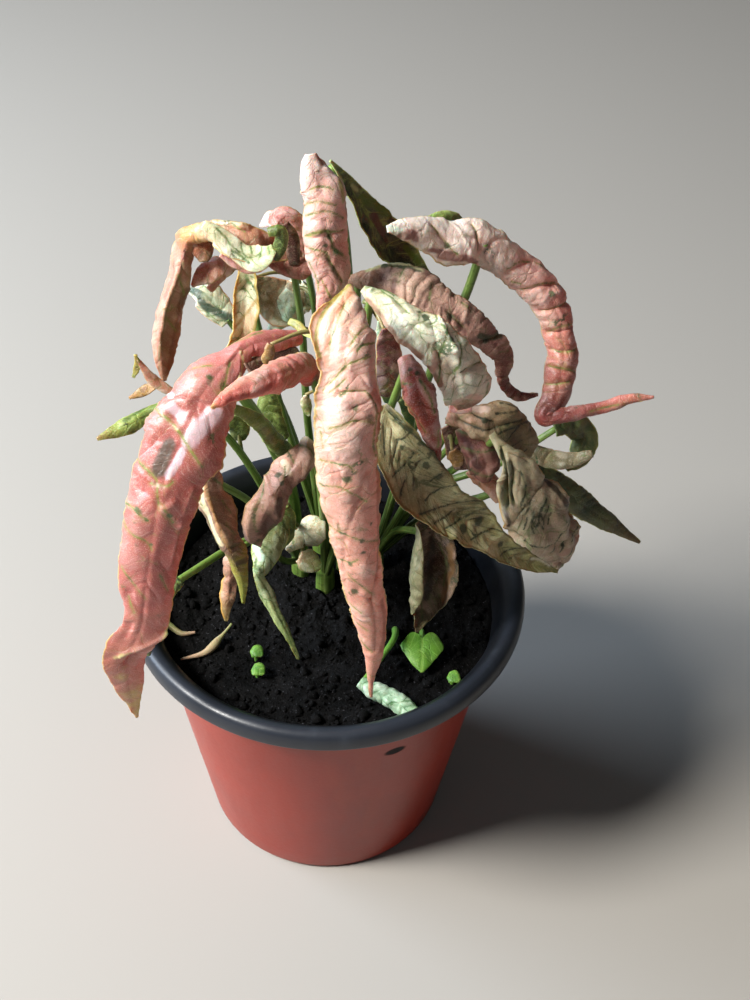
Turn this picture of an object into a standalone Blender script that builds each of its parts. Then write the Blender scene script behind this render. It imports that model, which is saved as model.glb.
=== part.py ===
"""A wilted, pink-leaved arrowhead plant in a 12 cm two-tone nursery pot."""

import math

import bmesh
import bpy
import numpy as np
from mathutils.bvhtree import BVHTree

MM = 0.001

# The pot is an ordinary 12 cm nursery pot.
POT_RIM_RADIUS = 60.0
POT_HEIGHT = 97.0
POT_BASE_RADIUS = 39.0
WALL_TOP_RADIUS = 53.0
POT_WALL = 1.2
LIP_HEIGHT = 6.0
SOIL_TOP = 85.0
POT_SIDES = 44

# Stems stand in plain holes of this much play all round.
STEM_RADIUS = 3.0
HOLE_PLAY = 0.35
STEM_FOOT = 70.0

BLADE_THICKNESS = 0.8
SEAT = 0.35
VIEWER = (0.0, -0.73, 0.68)

# Fresh stems, the leaf colours and the pot: slot name, colour and roughness.
COLOURS = {
    "pot_plastic": ((0.56, 0.17, 0.11), 0.45),
    "soil": ((0.018, 0.016, 0.015), 0.95),
    "petiole_green": ((0.16, 0.33, 0.06), 0.5),
    "leaf_pink": ((0.72, 0.33, 0.30), 0.45),
    "leaf_cream": ((0.68, 0.66, 0.48), 0.5),
    "leaf_green": ((0.13, 0.25, 0.07), 0.5),
    "leaf_brown": ((0.38, 0.19, 0.12), 0.6),
    "leaf_mint": ((0.40, 0.62, 0.42), 0.5),
    "seedling_green": ((0.15, 0.48, 0.06), 0.45),
    "dry_stalk": ((0.35, 0.20, 0.10), 0.8),
}


def clear_scene():
    for thing in list(bpy.data.objects):
        bpy.data.objects.remove(thing, do_unlink=True)


def material(slot):
    """One plain surface for each colour of the plant."""
    made = bpy.data.materials.get(slot)
    if made:
        return made
    colour, rough = COLOURS[slot]
    made = bpy.data.materials.new(slot)
    made.use_nodes = True
    shader = made.node_tree.nodes["Principled BSDF"]
    shader.inputs["Base Color"].default_value = (*colour, 1.0)
    shader.inputs["Roughness"].default_value = rough
    made.diffuse_color = (*colour, 1.0)
    return made


def solid(name, points, faces, slot=None, helper=False, origin=(0.0, 0.0, 0.0)):
    """An object from points in millimetres and faces of them, with its own origin."""
    mesh = bpy.data.meshes.new(name)
    local = [tuple((p[k] - origin[k]) * MM for k in range(3)) for p in points]
    mesh.from_pydata(local, [], faces)
    shape = bmesh.new()
    shape.from_mesh(mesh)
    bmesh.ops.recalc_face_normals(shape, faces=shape.faces)
    shape.to_mesh(mesh)
    shape.free()
    for face in mesh.polygons:
        face.use_smooth = True
    thing = bpy.data.objects.new(name, mesh)
    thing.location = [k * MM for k in origin]
    bpy.context.scene.collection.objects.link(thing)
    if helper:
        thing.hide_render = True
        thing.display_type = "WIRE"
    else:
        mesh.materials.append(material(slot))
    return thing


def boolean(target, operation, helpers):
    """Joins or cuts the helpers into the target, then removes them."""
    for helper in helpers:
        step = target.modifiers.new(operation.lower(), "BOOLEAN")
        step.operation = operation
        step.solver = "EXACT"
        step.object = helper
    bpy.context.view_layer.update()
    graph = bpy.context.evaluated_depsgraph_get()
    mesh = bpy.data.meshes.new_from_object(target.evaluated_get(graph))
    target.modifiers.clear()
    target.data = mesh
    for helper in helpers:
        bpy.data.objects.remove(helper, do_unlink=True)
    for face in target.data.polygons:
        face.use_smooth = True


def along(values, t):
    """A smooth curve through the values, read at t from 0 to 1."""
    values = [np.atleast_1d(np.asarray(v, float)) for v in values]
    spans = len(values) - 1
    at = min(max(t, 0.0), 1.0) * spans
    k = min(int(at), spans - 1)
    f = at - k
    b, c = values[k], values[k + 1]
    a = values[k - 1] if k > 0 else 2 * b - c
    d = values[k + 2] if k + 2 <= spans else 2 * c - b
    rise, fall = (c - a) / 2, (d - b) / 2
    f2, f3 = f * f, f * f * f
    cubic = (2 * f3 - 3 * f2 + 1) * b + (f3 - 2 * f2 + f) * rise
    return cubic + (3 * f2 - 2 * f3) * c + (f3 - f2) * fall


def unit(v):
    return v / max(np.linalg.norm(v), 1e-9)


def direction(path, t):
    return unit(along(path, min(t + 0.01, 1.0)) - along(path, max(t - 0.01, 0.0)))


def section(width, fold, curl, share):
    """How far a point lies out and back when half the blade is bent."""
    out = back = 0.0
    for k in range(12):
        bend = math.radians(fold + curl * (k + 0.5) / 12 * share)
        out += width * share / 12 * math.cos(bend)
        back -= width * share / 12 * math.sin(bend)
    return out, back


# Each leaf blade's surface and the point where its stalk meets it.
BLADES = {}


def blade_points(path, width, curl, turn, fold, wave, waves, skew, face, rows, half):
    """Rows of points over one face of a leaf, from its base to its tip."""
    grid = []
    for i in range(rows + 1):
        t = i / rows
        centre = along(path, t)
        tangent = direction(path, t)
        across = unit(np.cross(tangent, np.asarray(face)))
        normal = np.cross(across, tangent)
        a = math.radians(float(along(turn, t)[0]))
        side = across * math.cos(a) + normal * math.sin(a)
        up = normal * math.cos(a) - across * math.sin(a)
        w = max(float(along(width, t)[0]), 0.45)
        c = float(along(curl, t)[0])
        row = []
        for j in range(-half, half + 1):
            share = abs(j) / half
            hand = 1 if j > 0 else -1
            out, back = section(w * (1 + hand * skew), fold, c, share)
            ripple = wave * w * share * share * math.sin(waves * math.tau * t + hand)
            row.append(centre + side * out * hand + up * (back + ripple))
        grid.append(row)
    return grid


def thick(grid, thickness):
    """A closed leaf: both faces split into the same triangles, and a rim."""
    rows, cols = len(grid), len(grid[0])
    flat = np.array([p for row in grid for p in row])
    tris = []
    for i in range(rows - 1):
        for j in range(cols - 1):
            a = i * cols + j
            b, c, d = a + 1, a + cols + 1, a + cols
            tris += [(a, b, c), (a, c, d)]
    normals = np.zeros_like(flat)
    for a, b, c in tris:
        n = np.cross(flat[b] - flat[a], flat[c] - flat[a])
        for k in (a, b, c):
            normals[k] += n
    normals = np.array([unit(n) for n in normals])
    points = list(flat + normals * thickness / 2) + list(flat - normals * thickness / 2)
    m = len(flat)
    faces = tris + [(c + m, b + m, a + m) for a, b, c in tris]
    edges = {}
    for tri in tris:
        for k in range(3):
            edges[(tri[k], tri[(k + 1) % 3])] = True
    for a, b in edges:
        if (b, a) not in edges:
            faces += [(b, a, a + m), (b, a + m, b + m)]
    return points, faces


def leaf(name, slot, path, width, curl, turn=(0,), fold=0, wave=0.0, waves=3,
         skew=0.0, face=VIEWER, rows=12, half=2, joint=0.05):
    """A leaf blade bent along a path, rolled across it and turned about it.

    Its origin is the point where its stalk meets it.
    """
    path = [np.array(p, float) for p in path]
    turn = list(turn) * 2 if len(turn) == 1 else turn
    curl = list(curl) * 2 if len(curl) == 1 else curl
    grid = blade_points(path, width, curl, turn, fold, wave, waves, skew, face, rows, half)
    points, faces = thick(grid, BLADE_THICKNESS)
    met = along(path, joint)
    BLADES[name] = (BVHTree.FromPolygons(points, faces), met)
    return solid(name, points, faces, slot, origin=met)


def nearest(points, tree):
    return min(tree.find_nearest(tuple(p))[3] for p in points)


def seated(path, radii, blade):
    """Carries the end of a stalk on towards its leaf until it all but touches."""
    tree, joint = BLADES[blade]
    path = [np.array(p, float) for p in path]
    start = path[-1]
    for k in range(1, 60):
        trial = path[:-1] + [start + (joint - start) * k / 60]
        points, _ = tube_points(trial, radii, 6, 9)
        if nearest(points[-18:], tree) < SEAT:
            break
        path = trial
    return path


def settle(thing, points, bed):
    """Lowers a loose piece until it all but touches what lies under it."""
    tree = BVHTree.FromPolygons([v.co / MM for v in bed.data.vertices],
                                [p.vertices for p in bed.data.polygons])
    drop = 0.0
    while drop < 6 and nearest(np.array(points) - (0, 0, drop + 0.1), tree) > SEAT:
        drop += 0.1
    thing.location.z -= drop * MM


def tube_points(path, radii, sides, rows):
    """The rings of a round stalk along a path, and the faces between them."""
    path = [np.array(p, float) for p in path]
    points, faces = [], []
    start = direction(path, 0.0)
    across = unit(np.cross(start, np.array([0.31, 0.93, 0.2])))
    for i in range(rows + 1):
        t = i / rows
        tangent = direction(path, t)
        across = unit(across - tangent * float(across @ tangent))
        other = np.cross(tangent, across)
        r = float(along(radii, t)[0])
        for k in range(sides):
            a = math.tau * k / sides
            points.append(along(path, t) + r * (across * math.cos(a) + other * math.sin(a)))
    for i in range(rows):
        for k in range(sides):
            a, b = i * sides + k, i * sides + (k + 1) % sides
            faces.append((a, b, b + sides, a + sides))
    faces.append(tuple(range(sides)))
    faces.append(tuple(range(rows * sides, (rows + 1) * sides)))
    return points, faces


def tube(name, path, radii, slot=None, sides=8, rows=9, helper=False):
    """A round stalk with its two ends closed and its origin at its lower end."""
    points, faces = tube_points(path, radii, sides, rows)
    return solid(name, points, faces, slot, helper, origin=path[0])


def turned(name, profile, sides, slot=None, helper=False, lump=None):
    """A solid turned about the upright axis from (radius, height) corners."""
    points, faces, rings = [], [], []
    for r, z in profile:
        if r == 0:
            rings.append([len(points)])
            points.append((0.0, 0.0, z))
            continue
        ring = []
        for k in range(sides):
            a = math.tau * k / sides
            rise = lump(r, a) if lump and z > SOIL_TOP - 6 else 0.0
            ring.append(len(points))
            points.append((r * math.cos(a), r * math.sin(a), z + rise))
        rings.append(ring)
    for low, high in zip(rings, rings[1:]):
        for k in range(sides):
            n = (k + 1) % sides
            if len(low) == 1:
                faces.append((low[0], high[k], high[n]))
            elif len(high) == 1:
                faces.append((low[k], low[n], high[0]))
            else:
                faces.append((low[k], low[n], high[n], high[k]))
    return solid(name, points, faces, slot, helper)


def wall_radius(z):
    """Outside of the tapered wall at a height."""
    slope = (WALL_TOP_RADIUS - POT_BASE_RADIUS) / (POT_HEIGHT - LIP_HEIGHT)
    return POT_BASE_RADIUS + slope * z


def pot():
    """One moulded shell: base with a raised ring, tapered wall, rolled lip."""
    wall = [(wall_radius(z), z) for z in (30, 60, 88)]
    inner = [(wall_radius(z) - POT_WALL, z) for z in (88, 62, 34, 6.5)]
    foot = [(0, 0), (24, 0), (26, 3.0), (33, 3.0), (35, 0), (38.2, 0), (39.2, 1.2)]
    under_lip = [(53.4, 92.0), (54.9, 94.3), (57.0, 95.6), (58.4, 94.9), (58.8, 93.0)]
    lip = [(58.8, 91.0), (59.8, 91.0), (POT_RIM_RADIUS, 92.4), (POT_RIM_RADIUS, 94.4),
           (59.4, 96.0), (58.3, 96.8), (57.2, POT_HEIGHT), (55.9, 96.5), (54.3, 95.2),
           (52.6, 92.8)]
    floor = [(37.2, 4.8), (24, 4.8), (22, 1.8), (0, 1.8)]
    shell = turned("pot", foot + wall + under_lip + lip + inner + floor, POT_SIDES,
                   "pot_plastic")
    drains = []
    for k in range(6):
        a = math.tau * k / 6 + 0.3
        x, y = 29.5 * math.cos(a), 29.5 * math.sin(a)
        drains.append(tube(f"drain_{k}", [(x, y, 1), (x, y, 7)], [3, 3], rows=1, helper=True))
    boolean(shell, "DIFFERENCE", drains)
    return shell


STEMS = {
    "shoot_left": (-9, 14),
    "shoot_back": (-3, 25),
    "shoot_front": (-1, 7),
    "shoot_right": (14, 17),
    "shoot_middle": (5, 15),
}

# Position and radius of the holes of the seedlings' thin stalks.
SEEDLING_HOLES = [
    (21, -11, 1.3),
    (29, -11, 1.2),
    (-20, -22, 0.9),
    (-19, -29, 0.9),
    (38, -29, 0.9),
]


def soil():
    """The crumbly peat that fills the pot, uneven on top."""
    def lump(r, a):
        if r > 50.5:
            return 0.0
        return 0.9 * math.sin(3 * a + r / 6) * math.cos(r / 5) + 0.5 * math.sin(7 * a - r / 3)

    profile = [(0, 2.2), (21.6, 2.2), (24.2, 5.2), (36.6, 5.2)]
    profile += [(wall_radius(z) - POT_WALL - 0.5, z) for z in (8, 45, 83.5)]
    profile += [(49.5, SOIL_TOP), (40, SOIL_TOP), (30, SOIL_TOP + 0.4), (19, SOIL_TOP + 0.8)]
    profile += [(9, SOIL_TOP + 1.0), (0, SOIL_TOP + 1.2)]
    bed = turned("soil", profile, 40, "soil", lump=lump)
    holes = []
    for name, (x, y) in STEMS.items():
        r = STEM_RADIUS + HOLE_PLAY
        low, high = STEM_FOOT - 0.5, SOIL_TOP + 9
        holes.append(tube(f"hole_{name}", [(x, y, low), (x, y, high)], [r, r],
                          sides=12, rows=1, helper=True))
    for x, y, r in SEEDLING_HOLES:
        holes.append(tube("hole_small", [(x, y, 77.5), (x, y, SOIL_TOP + 9)], [r, r],
                          sides=8, rows=1, helper=True))
    boolean(bed, "DIFFERENCE", holes)
    return bed


def shoot(name, petioles):
    """A short stem in the soil with its leaf stalks, all one body."""
    x, y = STEMS[name]
    stem = tube(name, [(x, y, STEM_FOOT), (x, y, 80), (x, y, 92), (x, y, 98)],
                [STEM_RADIUS, STEM_RADIUS, 2.8, 1.6], "petiole_green", sides=10, rows=5)
    stalks = []
    for k, (blade, path, radii) in enumerate(petioles):
        path = [(x, y, 90)] + list(path)
        if blade:
            path = seated(path, radii, blade)
        stalks.append(tube(f"{name}_stalk_{k}", path, radii, sides=6, rows=9, helper=True))
    boolean(stem, "UNION", stalks)
    stem.data.materials.clear()
    stem.data.materials.append(material("petiole_green"))
    return stem


def shoots():
    """Five leafy stems: the leaf that each stalk carries, its way and its radii."""
    shoot("shoot_front", [
        ("leaf_front_hanging", [(1, 0, 130), (3, -14, 180), (5, -30, 208)], [1.6, 1.3, 1.1]),
        ("leaf_left_small", [(0, -1, 130), (0, -10, 165), (0, -18, 184)], [1.4, 1.2, 1.0]),
        ("leaf_brown_folded", [(-1, -1, 120), (-2, -8, 145), (-1, -13, 161)], [1.4, 1.2, 1.0]),
        ("leaf_right_long", [(6, -6, 130), (12, -16, 160), (15, -25, 181)], [1.5, 1.3, 1.1]),
    ])
    shoot("shoot_left", [
        ("leaf_left_arch", [(-11, 4, 130), (-16, -12, 165), (-24, -31, 191)], [1.9, 1.9, 1.3]),
        ("leaf_left_tip", [(-18, 6, 125), (-28, 0, 152), (-38, -3, 164)], [1.3, 1.1, 0.9]),
        ("leaf_left_inner", [(-14, 2, 110), (-24, -8, 119), (-38, -29, 126)], [1.4, 1.2, 1.0]),
        ("leaf_lower_left", [(-12, 0, 112), (-20, -14, 140), (-27, -26, 162)], [1.3, 1.1, 0.9]),
        ("leaf_lower_green", [(-10, 2, 110), (-10, -4, 124), (-10, -10, 134)], [1.2, 1.0, 0.8]),
        ("leaf_left_twisted", [(-13, 14, 130), (-18, 16, 165), (-21, 16, 193)], [1.2, 1.0, 0.9]),
        ("leaf_lower_dry", [(-13, -2, 106), (-19, -12, 124), (-24, -22, 136)], [1.1, 0.9, 0.7]),
        ("leaf_inner_cream", [(-8, 6, 104), (-6, 0, 112), (-5, -4, 117)], [1.1, 0.9, 0.7]),
        (None, [(-8, 12, 90), (-7, 10.5, 91), (-6, 9.5, 93)], [1.2, 2.0, 2.2, 0.8]),
    ])
    shoot("shoot_back", [
        ("leaf_back_pink", [(-3, 25, 140), (-5, 23, 180), (-8, 20, 204)], [1.2, 1.0, 0.9]),
        ("leaf_back_left", [(-12, 32, 125), (-22, 36, 150), (-30, 34, 163)], [1.3, 1.1, 0.9]),
        ("leaf_far_left", [(-7, 22, 140), (-8, 18, 175), (-5, 13.5, 199)], [1.3, 1.1, 0.9]),
        ("leaf_left_rose", [(-12, 24, 130), (-20, 23, 170), (-24, 19, 195)], [1.2, 1.0, 0.8]),
        ("leaf_top_rolled", [(0, 22, 150), (0, 12, 200), (-2, 6, 233)], [1.5, 1.3, 1.1]),
        ("leaf_back_tip", [(8, 32, 130), (17, 38, 170), (23, 38, 195)], [1.2, 1.0, 0.8]),
        ("leaf_back_middle", [(-3, 33, 140), (-5, 36, 165), (-7, 35, 178)], [1.2, 1.0, 0.9]),
    ])
    shoot("shoot_right", [
        ("leaf_right_arch", [(22, 19, 130), (34, 16, 172), (43, 11, 200)], [1.5, 1.3, 1.1]),
        ("leaf_right_crumpled", [(26, 12, 120), (38, 4, 142), (43, -7, 158)], [1.4, 1.2, 1.0]),
        ("leaf_right_beige", [(24, 8, 125), (30, 4, 145), (33, -1, 167)], [1.3, 1.1, 0.9]),
        ("leaf_right_inner", [(22, 8, 120), (28, 2, 140), (33, -3, 157)], [1.2, 1.0, 0.9]),
        ("leaf_right_dark", [(30, 14, 112), (46, 8, 126), (56, 5, 136)], [1.4, 1.2, 1.0]),
        ("leaf_back_right", [(30, 24, 112), (50, 24, 124), (64, 24, 135)], [1.4, 1.2, 1.0]),
        ("leaf_lower_right", [(20, 10, 108), (27, -1, 119), (29, -7, 124)], [1.3, 1.1, 0.9]),
    ])
    shoot("shoot_middle", [
        ("leaf_right_pleated", [(6, 14, 140), (7, 10, 180), (7, 8, 199)], [1.4, 1.2, 1.0]),
        ("leaf_right_cream", [(8, 8, 140), (9, -2, 180), (9, -9, 206)], [1.4, 1.2, 1.0]),
        ("leaf_coral", [(10, 4, 130), (15, -10, 165), (17, -22, 192)], [1.4, 1.2, 1.0]),
        ("leaf_top_dark", [(6, 19, 150), (4, 19, 200), (1, 16, 225)], [1.3, 1.1, 1.0]),
    ])


def front_leaves():
    leaf("leaf_front_hanging", "leaf_pink",
         [(6, -20, 217), (5, -33, 217), (6, -45, 203), (7, -50, 180), (11, -51, 154),
          (14, -50, 130), (15, -47, 103)],
         [3, 7.5, 8, 9, 8.2, 6, 0.6], [65], turn=[10, 5, 0, 0, 0, 5, 0], wave=0.08,
         rows=18, half=3)
    leaf("leaf_left_arch", "leaf_pink",
         [(-5, -14, 197), (-16, -25, 199), (-29, -38, 197), (-37, -50, 181), (-41, -55, 159),
          (-42, -57, 141), (-48, -56, 123), (-50, -52, 95)],
         [3, 7, 10.5, 11, 8, 5.5, 5.5, 0.6], [60, 60, 60, 60, 60, 55, 25, 20],
         turn=[0, 0, 0, 0, 0, 10, 30, 10], wave=0.08, rows=18, half=3, joint=0.24)
    leaf("leaf_left_small", "leaf_pink",
         [(-1, -20, 188), (-8, -32, 197), (-16, -41, 202), (-24, -48, 201)],
         [5, 6, 4, 0.5], [75], rows=8)
    leaf("leaf_right_cream", "leaf_cream",
         [(9, -12, 211), (17, -16, 209), (26, -21, 204), (32, -23, 196), (37, -22, 186),
          (40, -20, 178)],
         [3, 5.5, 8, 8.5, 7.5, 2], [50], wave=0.1, rows=14, half=3)
    leaf("leaf_coral", "leaf_pink",
         [(18, -23, 196), (22, -29, 195), (25, -33, 190), (28, -34, 182), (30, -34, 174)],
         [2.5, 4.2, 4.5, 3.6, 0.6], [75], rows=8)
    leaf("leaf_right_long", "leaf_cream",
         [(14, -27, 186), (18, -34, 180), (26, -37, 171), (36, -37, 162), (46, -35, 151),
          (55, -32, 142), (63, -29, 133)],
         [3, 6, 7.4, 7, 5.6, 3.8, 0.8], [-45], wave=0.06, rows=16, half=3)
    leaf("leaf_right_crumpled", "leaf_cream",
         [(44, -10, 161), (49, -15, 157), (54, -19, 150), (60, -22, 142), (64, -20, 132),
          (65, -17, 123)],
         [2.5, 5.5, 7.5, 8.5, 7.5, 2.5], [55], wave=0.12, waves=4, rows=12, half=3)


def upper_leaves():
    leaf("leaf_top_rolled", "leaf_pink",
         [(-4, 3, 237), (-2, -1, 224), (0, -3, 209), (-1, -3, 196), (-2, -3, 187)],
         [3.8, 6.6, 7, 6, 1], [85], rows=11, half=3)
    leaf("leaf_top_dark", "leaf_green",
         [(0, 14, 229), (5, 16, 218), (11, 19, 208), (18, 21, 199), (26, 20, 193)],
         [2, 4.5, 5.5, 5, 0.6], [-45], turn=[20], rows=10)
    leaf("leaf_right_arch", "leaf_pink",
         [(14, 0, 220), (25, 4, 216), (38, 9, 213), (48, 12, 204), (56, 12, 195),
          (61, 10, 185), (61, 6, 175), (59, 0, 165), (65, -1, 163), (75, 3, 165), (88, 6, 167)],
         [2, 5.6, 5.2, 5.2, 5.8, 5.6, 5, 4.2, 3.2, 2.6, 0.6], [80], rows=24, half=2,
         joint=0.25)
    leaf("leaf_right_pleated", "leaf_brown",
         [(6, 6, 202), (15, 4, 202), (27, 1, 200), (38, 1, 191), (45, 4, 180), (48, 8, 167),
          (57, 11, 161)],
         [3, 5, 6.2, 6.4, 4.6, 2, 0.6], [50], rows=14, wave=0.05)
    leaf("leaf_right_beige", "leaf_brown",
         [(34, -3, 169), (42, -6, 170), (50, -5, 165), (54, -3, 157)],
         [3.5, 6, 6.5, 2], [55], wave=0.1, rows=9)
    leaf("leaf_right_inner", "leaf_brown",
         [(34, -5, 160), (37, -9, 156), (40, -12, 149), (41, -12, 140)],
         [2, 4, 4.5, 1], [50], wave=0.1, rows=8)
    leaf("leaf_back_right", "leaf_green",
         [(66, 25, 138), (71, 29, 137), (76, 30, 131), (75, 28, 125), (71, 25, 122)],
         [2.5, 4, 4.4, 3.6, 0.8], [40], rows=9)
    leaf("leaf_right_dark", "leaf_green",
         [(58, 4, 139), (67, 5, 132), (80, 7, 120), (94, 10, 107)],
         [3, 4.5, 3.5, 0.5], [40], rows=9)
    leaf("leaf_far_left", "leaf_pink",
         [(-6, 12, 202), (-13, 9, 206), (-22, 5, 210), (-31, 9, 211), (-37, 13, 207),
          (-39, 13, 198), (-42, 13, 184), (-44, 11, 172), (-47, 8, 163), (-53, 6, 163)],
         [1.6, 4, 6.5, 4.6, 3.2, 4, 4.6, 4, 2.4, 0.5],
         [20, -25, -55, -20, 60, 75, 75, 70, 60, 40], rows=20, half=2)
    leaf("leaf_left_twisted", "leaf_cream",
         [(-22, 14, 197), (-22, 12, 191), (-22, 7, 187), (-25, 2, 183), (-29, -1, 180)],
         [2, 3.5, 3.5, 3, 0.6], [-50], turn=[0, 20, 60, 100, 120], rows=10)
    leaf("leaf_back_left", "leaf_cream",
         [(-30, 34, 166), (-34, 36, 170), (-38, 38, 173), (-42, 40, 172)],
         [3, 5, 4.5, 0.8], [40], rows=8)
    leaf("leaf_left_rose", "leaf_pink",
         [(-24, 18, 199), (-29, 19, 194), (-33, 19, 187)],
         [1.8, 2.6, 1.2], [50], rows=6)
    leaf("leaf_back_middle", "leaf_cream",
         [(-8, 33, 180), (-12, 35, 173), (-16, 37, 164)],
         [2.5, 6, 1], [45], wave=0.1, rows=8)
    leaf("leaf_left_tip", "leaf_green",
         [(-40, -3, 166), (-47, -6, 165), (-55, -10, 162), (-61, -12, 159)],
         [2.5, 3.5, 3, 0.5], [35], rows=8)
    leaf("leaf_back_pink", "leaf_pink",
         [(-9, 19, 206), (-13, 23, 207), (-17, 27, 205), (-20, 31, 200)],
         [2, 3.2, 3, 0.6], [45], rows=8)
    leaf("leaf_back_tip", "leaf_green",
         [(24, 38, 198), (29, 41, 198), (34, 45, 195), (37, 49, 189)],
         [1.5, 2.4, 2.2, 0.5], [40], rows=7)


def lower_leaves():
    leaf("leaf_left_inner", "leaf_green",
         [(-39, -31, 127), (-44, -35, 123), (-47, -38, 114), (-48, -39, 104)],
         [2.5, 4, 3.5, 0.6], [60], rows=8)
    leaf("leaf_brown_folded", "leaf_brown",
         [(-1, -16, 166), (-7, -22, 163), (-12, -27, 157), (-16, -30, 149), (-19, -30, 138)],
         [2.5, 5, 5, 4, 1], [55], rows=9)
    leaf("leaf_lower_left", "leaf_brown",
         [(-28, -28, 165), (-28, -31, 158), (-25, -34, 148), (-21, -35, 135), (-21, -34, 120)],
         [2.5, 4, 4, 3.2, 0.5], [60], rows=10)
    leaf("leaf_lower_green", "leaf_green",
         [(-10, -12, 135), (-13, -21, 134), (-15, -28, 131), (-14, -32, 123), (-10, -36, 114),
          (-6, -39, 104)],
         [2, 4, 3.4, 3.4, 2.8, 0.5], [45], rows=11)
    leaf("leaf_lower_dry", "leaf_brown",
         [(-25, -24, 137), (-27, -28, 130), (-27, -30, 122), (-26, -30, 116)],
         [1.6, 2.4, 2.2, 0.5], [50], rows=7)
    leaf("leaf_lower_right", "leaf_brown",
         [(29, -9, 126), (29, -14, 122), (29, -18, 115), (29, -20, 107), (27, -22, 99)],
         [3, 6.5, 7, 5, 0.6], [70], wave=0.1, rows=9)
    leaf("leaf_inner_cream", "leaf_cream",
         [(-5, -6, 120), (-8, -8, 121), (-11, -11, 119)],
         [1.6, 3, 0.8], [40], rows=6)


def seedlings():
    """Young leaves low over the soil, each with a stalk in its own hole."""
    leaf("leaf_mint", "leaf_mint",
         [(12, -36, 95), (15, -38, 93), (20, -41, 90), (25, -43, 88)],
         [1.6, 3.4, 3.2, 1.2], [80], rows=8)
    leaf("seedling_heart", "seedling_green",
         [(29, -15.5, 91), (29, -20, 91), (29, -25, 89.5), (29, -29, 87.5)],
         [3.4, 4.4, 3.2, 0.5], [15], face=(0, -0.3, 0.95), rows=8)
    for name, blade, path, radii in (
        ("seedling_stalk_mint", "leaf_mint",
         [(21, -11, 78), (21, -12, 88), (20, -22, 94), (15, -32, 95)], [1.0, 1.1, 0.9, 0.8]),
        ("seedling_stalk_heart", "seedling_heart",
         [(29, -11, 78), (29, -11, 84), (29, -12, 88), (29, -13, 89)], [0.8, 0.8, 0.6]),
    ):
        tube(name, seated(path, radii, blade), radii, "seedling_green", sides=7, rows=9)
    for name, x, y in (("seedling_left_a", -20, -22), ("seedling_left_b", -19, -29),
                       ("seedling_right", 38, -29)):
        stalk = tube(name, [(x, y, 78), (x, y, 84), (x, y - 0.5, 88)], [0.6, 0.6, 0.5],
                     "seedling_green", sides=6, rows=3)
        blade = leaf(name + "_blade", "seedling_green",
                     [(x - 1.5, y + 0.5, 87.6), (x, y, 88), (x + 2.2, y - 1.5, 87)],
                     [1.2, 2, 0.8], [20], face=(0, -0.3, 0.95), rows=5)
        boolean(stalk, "UNION", [blade])


def dry_bits(bed):
    """Dry stalks lying on the soil."""
    for name, path, radii in (
        ("dry_stalk_left", [(-28, -13, 90), (-31, -17, 88.3), (-35, -22, 87), (-42, -25, 87)],
         [0.4, 0.7, 0.9, 0.4]),
        ("dry_stalk_rim", [(-47, -13, 89.5), (-43, -15, 88), (-39, -14, 87.5)],
         [1.0, 0.8, 0.4]),
    ):
        points, faces = tube_points(path, radii, 6, 8)
        settle(solid(name, points, faces, "dry_stalk"), points, bed)


def gather(name):
    """Hangs every piece on one empty at the pot's base, to move the plant by."""
    handle = bpy.data.objects.new(name, None)
    for thing in bpy.data.objects:
        if thing.type == "MESH":
            thing.parent = handle
    bpy.context.scene.collection.objects.link(handle)


def build():
    clear_scene()
    pot()
    bed = soil()
    front_leaves()
    upper_leaves()
    lower_leaves()
    shoots()
    seedlings()
    dry_bits(bed)
    gather("potted_syngonium")


build()
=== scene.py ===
# %% [markdown]
# # A wilted arrowhead plant in a nursery pot
# The solids of this plant are already fixed: a pot, its soil, five leafy stems and some thirty leaves.
# This lesson dresses them. Every leaf gets a fine surface with veins, puckers and curled edges, and a
# finish made only of nodes. Nothing is moved: each fine piece lies where its plain solid lies.

# %% Load the fixed frame
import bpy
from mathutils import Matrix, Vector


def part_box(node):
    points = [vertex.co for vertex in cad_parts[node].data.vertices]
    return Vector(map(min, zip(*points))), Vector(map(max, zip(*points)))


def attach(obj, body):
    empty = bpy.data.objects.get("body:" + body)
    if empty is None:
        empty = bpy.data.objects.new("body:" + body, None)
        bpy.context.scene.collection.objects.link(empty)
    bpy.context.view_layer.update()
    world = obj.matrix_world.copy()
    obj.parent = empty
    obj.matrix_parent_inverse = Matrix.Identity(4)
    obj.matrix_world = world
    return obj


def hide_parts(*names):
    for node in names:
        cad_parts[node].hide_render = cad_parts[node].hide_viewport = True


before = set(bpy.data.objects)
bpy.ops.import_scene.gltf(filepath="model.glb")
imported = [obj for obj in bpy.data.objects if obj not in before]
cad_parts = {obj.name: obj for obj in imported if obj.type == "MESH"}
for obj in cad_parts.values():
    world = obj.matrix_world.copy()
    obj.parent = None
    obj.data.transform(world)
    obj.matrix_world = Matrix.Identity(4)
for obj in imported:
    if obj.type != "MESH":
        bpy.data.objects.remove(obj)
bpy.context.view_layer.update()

# %% Modules and units
import math

import bmesh
import bpy
import numpy as np
from mathutils import Matrix, Vector

MM = 0.001
rng = np.random.default_rng(12)
print("one millimetre is", MM, "of a Blender unit")

# %% [markdown]
# ## Curves and hills
# Leaves are described in millimetres by a few points each: the way of the midrib, the half-width and the
# bend of the blade at stations along it. A smooth curve through those points gives every value between.
# Puckers and crumples need gentle random hills. They are worked out here with numpy, so that thousands of
# points are done at once and every run gives the same hills.

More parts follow.
